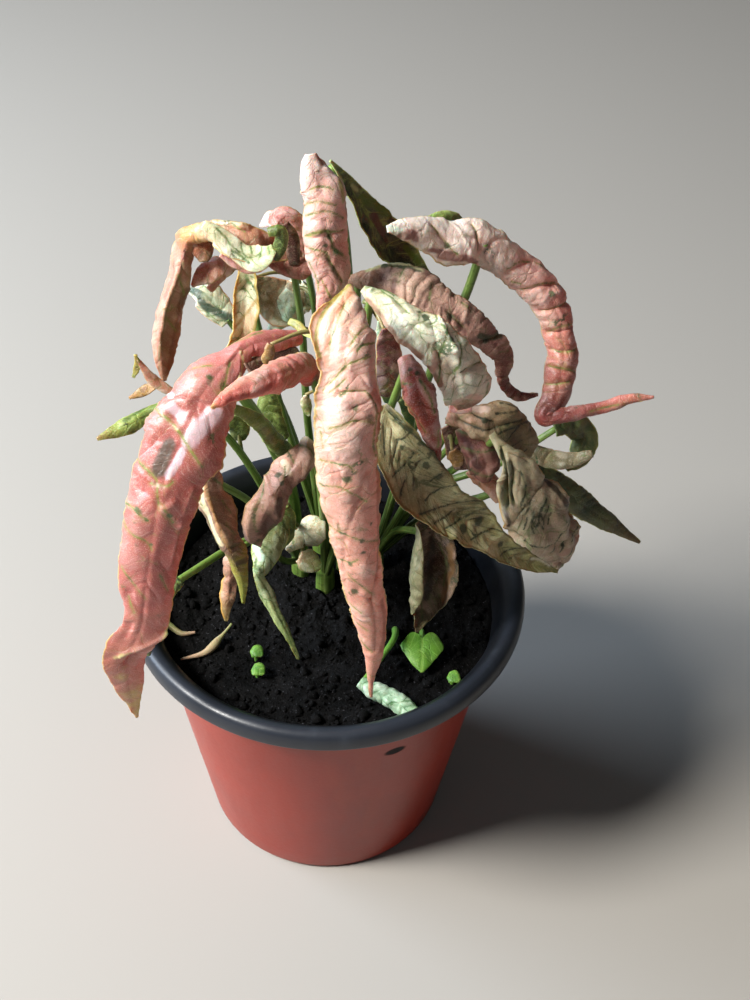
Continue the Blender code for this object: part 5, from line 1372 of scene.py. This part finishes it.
# %% The five shoots
FORK = 90
STEMS = {
    "shoot_left": (-9, 14),
    "shoot_back": (-3, 25),
    "shoot_front": (-1, 7),
    "shoot_right": (14, 17),
    "shoot_middle": (5, 15),
}
STALKS = dict(
    shoot_front=[
        ("leaf_front_hanging", [(1, 0, 130), (3, -14, 180), (5, -30, 208)], [1.6, 1.3, 1.1]),
        ("leaf_left_small", [(0, -1, 130), (0, -10, 165), (0, -18, 184)], [1.4, 1.2, 1]),
        ("leaf_brown_folded", [(-1, -1, 120), (-2, -8, 145), (-1, -13, 161)], [1.4, 1.2, 1]),
        ("leaf_right_long", [(6, -6, 130), (12, -16, 160), (15, -25, 181)], [1.5, 1.3, 1.1]),
    ],
    shoot_left=[
        ("leaf_left_arch", [(-11, 4, 130), (-16, -12, 165), (-24, -31, 191)], [1.9, 1.9, 1.3]),
        ("leaf_left_tip", [(-18, 6, 125), (-28, 0, 152), (-38, -3, 164)], [1.3, 1.1, 0.9]),
        ("leaf_left_inner", [(-14, 2, 110), (-24, -8, 119), (-38, -29, 126)], [1.4, 1.2, 1]),
        ("leaf_lower_left", [(-12, 0, 112), (-20, -14, 140), (-27, -26, 162)], [1.3, 1.1, 0.9]),
        ("leaf_lower_green", [(-10, 2, 110), (-10, -4, 124), (-10, -10, 134)], [1.2, 1, 0.8]),
        ("leaf_left_twisted", [(-13, 14, 130), (-18, 16, 165), (-21, 16, 193)], [1.2, 1, 0.9]),
        ("leaf_lower_dry", [(-13, -2, 106), (-19, -12, 124), (-24, -22, 136)], [1.1, 0.9, 0.7]),
        ("leaf_inner_cream", [(-8, 6, 104), (-6, 0, 112), (-5, -4, 117)], [1.1, 0.9, 0.7]),
        (None, [(-8, 12, 90), (-7, 10.5, 91), (-6, 9.5, 93)], [1.2, 2, 2.2, 0.8]),
    ],
    shoot_back=[
        ("leaf_back_pink", [(-3, 25, 140), (-5, 23, 180), (-8, 20, 204)], [1.2, 1, 0.9]),
        ("leaf_back_left", [(-12, 32, 125), (-22, 36, 150), (-30, 34, 163)], [1.3, 1.1, 0.9]),
        ("leaf_far_left", [(-7, 22, 140), (-8, 18, 175), (-5, 13.5, 199)], [1.3, 1.1, 0.9]),
        ("leaf_left_rose", [(-12, 24, 130), (-20, 23, 170), (-24, 19, 195)], [1.2, 1, 0.8]),
        ("leaf_top_rolled", [(0, 22, 150), (0, 12, 200), (-2, 6, 233)], [1.5, 1.3, 1.1]),
        ("leaf_back_tip", [(8, 32, 130), (17, 38, 170), (23, 38, 195)], [1.2, 1, 0.8]),
        ("leaf_back_middle", [(-3, 33, 140), (-5, 36, 165), (-7, 35, 178)], [1.2, 1, 0.9]),
    ],
    shoot_right=[
        ("leaf_right_arch", [(22, 19, 130), (28, 17, 165), (35, 13.5, 190.5), (43, 11, 200)], [1.5, 1.3,
         1.3, 1.2]),
        ("leaf_right_crumpled", [(26, 12, 120), (38, 4, 142), (43, -7, 158)], [1.4, 1.2, 1]),
        ("leaf_right_beige", [(24, 8, 125), (30, 4, 145), (33, -1, 167)], [1.3, 1.1, 0.9]),
        ("leaf_right_inner", [(22, 8, 120), (28, 2, 140), (33, -3, 157)], [1.2, 1, 0.9]),
        ("leaf_right_dark", [(30, 14, 112), (46, 8, 126), (56, 5, 136)], [1.4, 1.2, 1]),
        ("leaf_back_right", [(30, 24, 112), (50, 24, 124), (64, 24, 135)], [1.4, 1.2, 1]),
        ("leaf_lower_right", [(20, 10, 108), (27, -1, 119), (29, -7, 124)], [1.3, 1.1, 0.9]),
    ],
    shoot_middle=[
        ("leaf_right_pleated", [(6, 14, 140), (7, 10, 180), (7, 8, 199)], [1.4, 1.2, 1]),
        ("leaf_right_cream", [(8, 8, 140), (9, -2, 180), (9, -9, 206)], [1.4, 1.2, 1]),
        ("leaf_coral", [(10, 4, 130), (15, -10, 165), (17, -22, 192)], [1.4, 1.2, 1]),
        ("leaf_top_dark", [(6, 19, 150), (4, 19, 200), (1, 16, 225)], [1.3, 1.1, 1]),
    ],
)
# The darker low colour of the shoot stalks is painted shade, where they run deep under the leaves.
green = stalk_finish("stalk_green", "36481a", "6c8a3a", "28361a", "90a85c")
scrap = stalk_finish("stalk_scrap", "4c5c2a", "8a7a48", "3c4420", "a49a68")
for shoot, (x, y) in STEMS.items():
    parts = [tube([(x, y, z) for z in (72, 80, 92, 98)], [3, 3, 2.8, 1.6], 20, 24)]
    for k, (blade, path, radii) in enumerate(STALKS[shoot]):
        path = [(x, y, FORK)] + path
        if blade:
            path[-1] = JOINTS[blade]
        parts.append(tube(path, radii, groove=0.12, seed=k + x * 1.0))
    place(shoot + "_stalks", tubes_mesh(shoot, parts), green, [shoot], "petiole_green")
    print(shoot, "has", len(parts) - 1, "stalks")

# %% [markdown]
# The small leaves would hang in the air without stalks of their own. Where each one springs from doesn't
# show, so its stalk starts at the nearest place, on the stalks of the large leaves, that lies below it. A
# few small leaves lean on a large one and need none.

# %% Short stalks of the small leaves
ways = [along([np.array(p, float) for p in [(*STEMS[shoot], FORK)] + path], np.linspace(0, 1, 60))
        for shoot in STALKS for blade, path, radii in STALKS[shoot] if blade]
ways = np.concatenate(ways)
parts = []
leaning = ("drape_flap", "drape_curl", "drape_kink", "arch_lining", "brown_curl", "dry_tip_b",
           "dry_tip_c")
for k, name in enumerate(n for n in BITS if n not in leaning):
    end = JOINTS["bit_" + name]
    below = ways[(ways[:, 2] < end[2] + 4) & (ways[:, 1] > end[1] - 3)]
    start = below[np.argmin(np.linalg.norm(below - end, axis=1))]
    bend = (start + end) / 2 + (0, 1.5, 0.12 * np.linalg.norm(end - start))
    parts.append(tube([start, bend, end], [0.7, 0.55, 0.4], 10, 16, seed=k))
place("bit_stalks", tubes_mesh("bit_stalks", parts), scrap, [], "petiole_green")
print("short stalks:", len(parts))

# %% The thin stalks of the young plants
young = stalk_finish("stalk_young", "5c9434", "74a844", "47782a", "94bc64")
for node, path, radii in (
    ("seedling_stalk_mint", [(21, -11, 78), (21, -12, 88), (20, -22, 94),
                             JOINTS["leaf_mint"]], [1.0, 1.1, 0.9, 0.8]),
    ("seedling_stalk_heart", [(29, -11, 78), (29, -11, 84), (29, -12, 88),
                              JOINTS["seedling_heart"]], [0.8, 0.8, 0.6]),
    ("seedling_left_a", [(-20, -22, 78), (-20, -22, 84), (-20, -22.5, 88)], [0.6, 0.6, 0.5]),
    ("seedling_left_b", [(-19, -29, 78), (-19, -29, 84), (-19, -29.5, 88)], [0.6, 0.6, 0.5]),
    ("seedling_right", [(38, -29, 78), (38, -29, 84), (38, -29.5, 88)], [0.6, 0.6, 0.5]),
):
    mesh = tubes_mesh(node, [tube(path, radii, 12, 30)])
    place(node + "_stem", mesh, young, [node], "seedling_green")
    print(node, "has a stalk of", len(mesh.vertices), "points")

# %% [markdown]
# Two dead stalks lie on the soil, one at the left and one by the rim. They are tubes as well, duller and
# with more grain, and each is set down to the height at which its solid lies.

# %% The dry stalks on the soil
dry = stalk_finish("stalk_dry", "6f8240", "b09078", "7a4a3c", "c8a890", gloss=0.7)
for node, path, radii in (
    ("dry_stalk_left", [(-28, -13, 90), (-31, -17, 88.3), (-35, -22, 87), (-42, -25, 87)],
     [0.35, 0.5, 1.3, 0.8, 0.3]),
    ("dry_stalk_rim", [(-47, -13, 89.5), (-43, -15, 88), (-39, -14, 87.5)], [1.0, 0.8, 0.4]),
):
    points, faces, span, share = tube(path, radii, 12, 40, seed=5.0)
    points[:, 2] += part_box(node)[0][2] / MM - points[:, 2].min()
    mesh = tubes_mesh(node, [(points, faces, span, share)])
    place(node + "_twig", mesh, dry, [node], "dry_stalk")
print("stalks are on")

# %% [markdown]
# ## Pot and soil
# The pot is turned on the wheel of a mould: one outline, carried round the axis. The outer wall is
# terracotta pink, the lip and the inside are slate. Its corners are rounded by a curve through more points
# than the solid has.

# %% Turning an outline
POT_HEIGHT, LIP_HEIGHT = 97.0, 6.0
POT_BASE_RADIUS, WALL_TOP_RADIUS, POT_WALL = 39.0, 53.0, 1.2


def wall_radius(z):
    slope = (WALL_TOP_RADIUS - POT_BASE_RADIUS) / (POT_HEIGHT - LIP_HEIGHT)
    return POT_BASE_RADIUS + slope * z


def rounded(outline, cut=0.3, least=0.25):
    """The outline with each corner cut twice, so that it turns gently."""
    outline = [np.array(p, float) for p in outline]
    for _ in range(2):
        made = [outline[0]]
        for a, b, c in zip(outline, outline[1:], outline[2:]):
            near = min(np.linalg.norm(a - b), np.linalg.norm(c - b))
            step = min(cut * near, 0.8)
            if step < least / 4:
                made.append(b)
                continue
            made += [b + unit(a - b) * step, b + unit(c - b) * step]
        outline = made + [outline[-1]]
    return np.array(outline)


def turned(name, outline, sides, lift=None):
    """A closed mesh from an outline that starts and ends on the axis."""
    a = np.linspace(0, math.tau, sides, endpoint=False)
    r, z = outline[1:-1, 0], outline[1:-1, 1]
    rings = np.stack([r[:, None] * np.cos(a), r[:, None] * np.sin(a), z[:, None] + 0 * a], -1)
    if lift is not None:
        rings[..., 2] += lift(rings[..., 0], rings[..., 1], rings[..., 2])
    points = rings.reshape(-1, 3)
    rows = len(r)
    k, n = np.arange(sides), (np.arange(sides) + 1) % sides
    low = np.arange(rows - 1)[:, None] * sides
    quads = np.stack([low + k, low + n, low + sides + n, low + sides + k], -1).reshape(-1, 4)
    ends = np.array([[0, 0, outline[0, 1]], [0, 0, outline[-1, 1]]])
    if lift is not None:
        ends[1, 2] += float(lift(np.zeros(1), np.zeros(1), ends[1:, 2])[0])
    faces = quads.tolist()
    faces += [[len(points), int(b), int(c)] for b, c in zip(n, k)]
    last = (rows - 1) * sides
    faces += [[len(points) + 1, last + int(b), last + int(c)] for b, c in zip(k, n)]
    mesh = bpy.data.meshes.new(name)
    mesh.from_pydata((np.concatenate([points, ends]) * MM).tolist(), [], faces)
    mesh.shade_smooth()
    return mesh


print("radius halfway up the wall:", round(wall_radius(POT_HEIGHT / 2), 1), "mm")

# %% The two colours of the plastic
STAIN_X, STAIN_Z = 0.022, 0.0727


def plastic(name, colour, dark, dust, gloss, stained):
    """Moulded plastic with dust, and a small stain outside, or painted shade darkening the inside of the
    rim.
    """
    f = Finish(name)
    spot = f.node("ShaderNodeTexCoord", {}, {}, "Object")
    cloud = f.grain(spot, 30.0, 4.0, 0.6)
    fine = f.grain(spot, 900.0, 2.0, 0.6)
    smear = f.grain(f.stretch(spot, (60, 60, 9)), 1.0, 4.0, 0.65)
    shade = f.mix(cloud.rise(0.35, 0.7) * 0.35, colour, dark)
    shade = f.mix(smear.rise(0.55, 0.75) * 0.3, shade, dust)
    rough = gloss + (smear - 0.5) * 0.25 + (fine - 0.5) * 0.1
    x, y, z = f.split(spot)
    if stained:
        far = ((x - STAIN_X) ** 2.0 + (z - STAIN_Z) ** 2.0 * 3.0) ** 0.5 + (cloud - 0.5) * 0.003
        stain = far.fall(0.0022, 0.0036) * y.fall(-0.03, 0.0)
        shade, rough = f.mix(stain, shade, "100403"), rough + stain * 0.5
    else:
        # painted shade: the slate darkens inside the rim, where the lip shades the inner wall
        inside = (x * x + y * y).fall(0.0545**2, 0.0565**2)
        shade = f.mix(inside * 0.75, shade, "0c0c0e")
    return f.wear(base_color=shade, roughness=rough, normal=f.bumps(fine, 0.15, 0.0002),
                  specular_ior_level=0.42)


terracotta = plastic("terracotta_plastic", "982b18", "741f12", "aa4830", 0.36, True)
slate = plastic("slate_plastic", "262a32", "1b1e24", "4c525c", 0.38, False)
print("the stain is", round(STAIN_Z / MM), "mm above the floor")

# %% The pot
foot = [(0, 0), (24, 0), (26, 3.0), (33, 3.0), (35, 0), (38.2, 0), (39.2, 1.2)]
wall = [(wall_radius(z), z) for z in (10, 20, 30, 40, 50, 60, 70, 80, 88)]
under_lip = [(53.4, 92.0), (54.9, 94.3), (57.0, 95.6), (58.4, 94.9), (58.8, 93.0)]
lip = [(58.8, 91.0), (59.8, 91.0), (60.0, 92.4), (60.0, 94.4), (59.4, 96.0), (58.3, 96.8),
       (57.2, POT_HEIGHT), (55.9, 96.5), (54.3, 95.2), (52.6, 92.8)]
inner = [(wall_radius(z) - POT_WALL, z) for z in (88, 75, 62, 48, 34, 20, 6.5)]
bottom = [(37.2, 4.8), (24, 4.8), (22, 1.8), (0, 1.8)]
outline = rounded(foot + wall + under_lip + lip + inner + bottom)
pot_mesh = turned("pot_shell", outline, 160)
pot = place("pot_shell", pot_mesh, [terracotta, slate], ["pot"], "pot_plastic")
drills = []
DRAINS, DRAIN_RADIUS, DRAIN_RING, DRILL_LENGTH = 6, 3, 29.5, 8
for k in range(DRAINS):
    a = math.tau * k / DRAINS + 0.3
    bpy.ops.mesh.primitive_cylinder_add(
        vertices=32, radius=DRAIN_RADIUS * MM, depth=DRILL_LENGTH * MM, location=(
            DRAIN_RING * MM * math.cos(a), DRAIN_RING * MM * math.sin(a), DRILL_LENGTH / 2 * MM))
    drill = bpy.context.object
    step = pot.modifiers.new("drain", "BOOLEAN")
    step.operation, step.solver, step.object = "DIFFERENCE", "EXACT", drill
    drills.append(drill)
bpy.context.view_layer.update()
cut = bpy.data.meshes.new_from_object(pot.evaluated_get(bpy.context.evaluated_depsgraph_get()))
pot.modifiers.clear()
pot.data = cut
for drill in drills:
    bpy.data.objects.remove(drill, do_unlink=True)
for face in cut.polygons:
    x, y, z = face.center / MM
    outside = math.hypot(x, y) > wall_radius(z) - 0.5 * POT_WALL
    face.material_index = 0 if (outside and z < 90.5) or z < 3.5 else 1
cut.shade_smooth()
print("pot triangles:", len(cut.polygons))

# %% [markdown]
# Peat is black, fibrous and crumbly. The bed is one fine surface with hills of a few sizes. Crumbs are
# rough little lumps, half sunk in it, with more of the small ones.

# %% The bed of soil
def bed_height(x, y):
    """Height of the soil over its plain level, in millimetres."""
    r, a = np.hypot(x, y), np.arctan2(y, x)
    base = 0.9 * np.sin(3 * a + r / 6) * np.cos(r / 5) + 0.5 * np.sin(7 * a - r / 3)
    base = base * smooth(51, 49, r)
    return base + 0.9 * rugged(x / 5, y / 5, 2.0, 4) + 0.35 * rugged(x / 1.3, y / 1.3, 4.0, 3)


def soil_level(r):
    return np.interp(r, [0, 9, 19, 30, 40, 49.5, 52], [86.2, 86, 85.8, 85.4, 85, 85, 83.5])


def soil_lift(x, y, z):
    return np.where(z > 82.0, bed_height(x, y), 0.0)


edge = [(wall_radius(z) - POT_WALL - 0.5, z) for z in (8, 45, 80)]
top = [(r, float(soil_level(r))) for r in np.linspace(51.2, 0, 130)]
bed_outline = np.array([(0, 2.2), (21.6, 2.2), (24.2, 5.2), (36.6, 5.2)] + edge + top)
bed = turned("soil_bed", bed_outline, 220, soil_lift)


def soil_finish():
    f = Finish("peat")
    spot = f.node("ShaderNodeTexCoord", {}, {}, "Object")
    clods = f.grain(spot, 260.0, 5.0, 0.7)
    fine = f.grain(spot, 1400.0, 3.0, 0.7)
    colour = f.mix(clods.rise(0.35, 0.7), "050505", "0e0d0d")
    # The pale bluish-grey specks are painted glints on the grains.
    colour = f.mix(fine.rise(0.62, 0.76) * 0.7, colour, "6c6c72")
    return f.wear(base_color=colour, roughness=0.85 - fine.rise(0.55, 0.75) * 0.45,
                  normal=f.bumps(fine + clods, 0.9, 0.0007), specular_ior_level=0.1)


peat = soil_finish()
place("soil_bed", bed, peat, ["soil"], "soil")
print("the soil is", round(float(soil_level(0)), 1), "mm high in the middle")

# %% Crumbs on the soil
STREWN_RADIUS = 50.3


def lumps(name, count, sizes, detail, deepest):
    """A mesh of rough lumps strewn over the bed."""
    shape = bmesh.new()
    bmesh.ops.create_icosphere(shape, subdivisions=detail, radius=1.0)
    ball = np.array([v.co for v in shape.verts])
    tris = np.array([[v.index for v in f.verts] for f in shape.faces])
    shape.free()
    points, faces = [], []
    for k in range(count):
        r, a = STREWN_RADIUS * math.sqrt(rng.uniform()), rng.uniform(0, math.tau)
        x, y = r * math.cos(a), r * math.sin(a)
        size = sizes[0] + (sizes[1] - sizes[0]) * rng.uniform() ** 3
        form = ball * (1 + 0.5 * hills(ball[:, 0] * 1.4 + k, ball[:, 1] * 1.4, ball[:, 2]))[:, None]
        spin = np.array(Matrix.Rotation(rng.uniform(0, math.tau), 3, Vector(rng.normal(size=3))))
        form = (form * rng.uniform(0.6, 1.2, 3)) @ spin.T * size
        z = float(soil_level(r) + bed_height(np.array(x), np.array(y)))
        points.append(form + (x, y, z + size * rng.uniform(deepest, 0.5)))
        faces.append(tris + k * len(ball))
    mesh = bpy.data.meshes.new(name)
    mesh.from_pydata((np.concatenate(points) * MM).tolist(), [], np.concatenate(faces).tolist())
    mesh.shade_smooth()
    return mesh


place("soil_lumps", lumps("soil_lumps", 600, (0.5, 1.8), 2, -0.2), peat, [], "soil")
place("soil_crumbs", lumps("soil_crumbs", 4200, (0.15, 0.6), 1, -0.1), peat, [], "soil")
print("soil is in")

# %% [markdown]
# ## Floor, light and camera
# A plain pale floor. A broad soft lamp to the left stands for the window, the pale world fills the shadows.
# The camera looks down on the plant by 43 degrees.

# %% The floor
FLOOR_SIZE = 6.0
bpy.ops.mesh.primitive_plane_add(size=FLOOR_SIZE, location=(0, 0, -0.0002))
floor = bpy.context.object
floor.name = "floor"
ground = Finish("pale_floor")
floor.data.materials.append(ground.wear(base_color="a29e98", roughness=1.0, specular_ior_level=0.1))
print("the floor is", FLOOR_SIZE, "m wide")

# %% Light
world = bpy.data.worlds.new("studio")
bpy.context.scene.world = world
world.use_nodes = True
sky = world.node_tree.nodes["Background"]
sky.inputs[0].default_value = (0.86, 0.93, 1.0, 1.0)
sky.inputs[1].default_value = 0.07


AIM = Vector((0, 0, 0.15))


def lamp(name, spot, size, power, colour):
    light = bpy.data.lights.new(name, "AREA")
    light.shape, light.size, light.energy, light.color = "DISK", size, power, colour
    thing = bpy.data.objects.new(name, light)
    bpy.context.scene.collection.objects.link(thing)
    thing.location = spot
    thing.rotation_euler = (AIM - Vector(spot)).to_track_quat("-Z", "Y").to_euler()


lamp("window", (-0.76, -0.3, 0.95), 0.36, 30, (1.0, 0.98, 0.94))
lamp("sky", (-0.9, 0.2, 0.5), 0.6, 12, (0.66, 0.81, 1.0))
lamp("bounce", (0.6, -0.9, 0.8), 1.0, 0.3, (1.0, 0.97, 0.95))
print("lamps:", len(bpy.data.lights))

# %% Camera
eye = bpy.data.cameras.new("camera")
eye.sensor_fit, eye.sensor_height, eye.sensor_width = "VERTICAL", 36.0, 36.0
eye.lens = FOCUS * eye.sensor_height / PHOTO[1]
camera = bpy.data.objects.new("camera", eye)
bpy.context.scene.collection.objects.link(camera)
turn = Matrix((RIGHT, ABOVE, -AHEAD)).transposed().to_4x4()
camera.matrix_world = Matrix.Translation(Vector(EYE * MM)) @ turn
bpy.context.scene.camera = camera
bpy.context.scene.view_settings.view_transform = "Standard"
print("the lens is", round(eye.lens, 1), "mm")
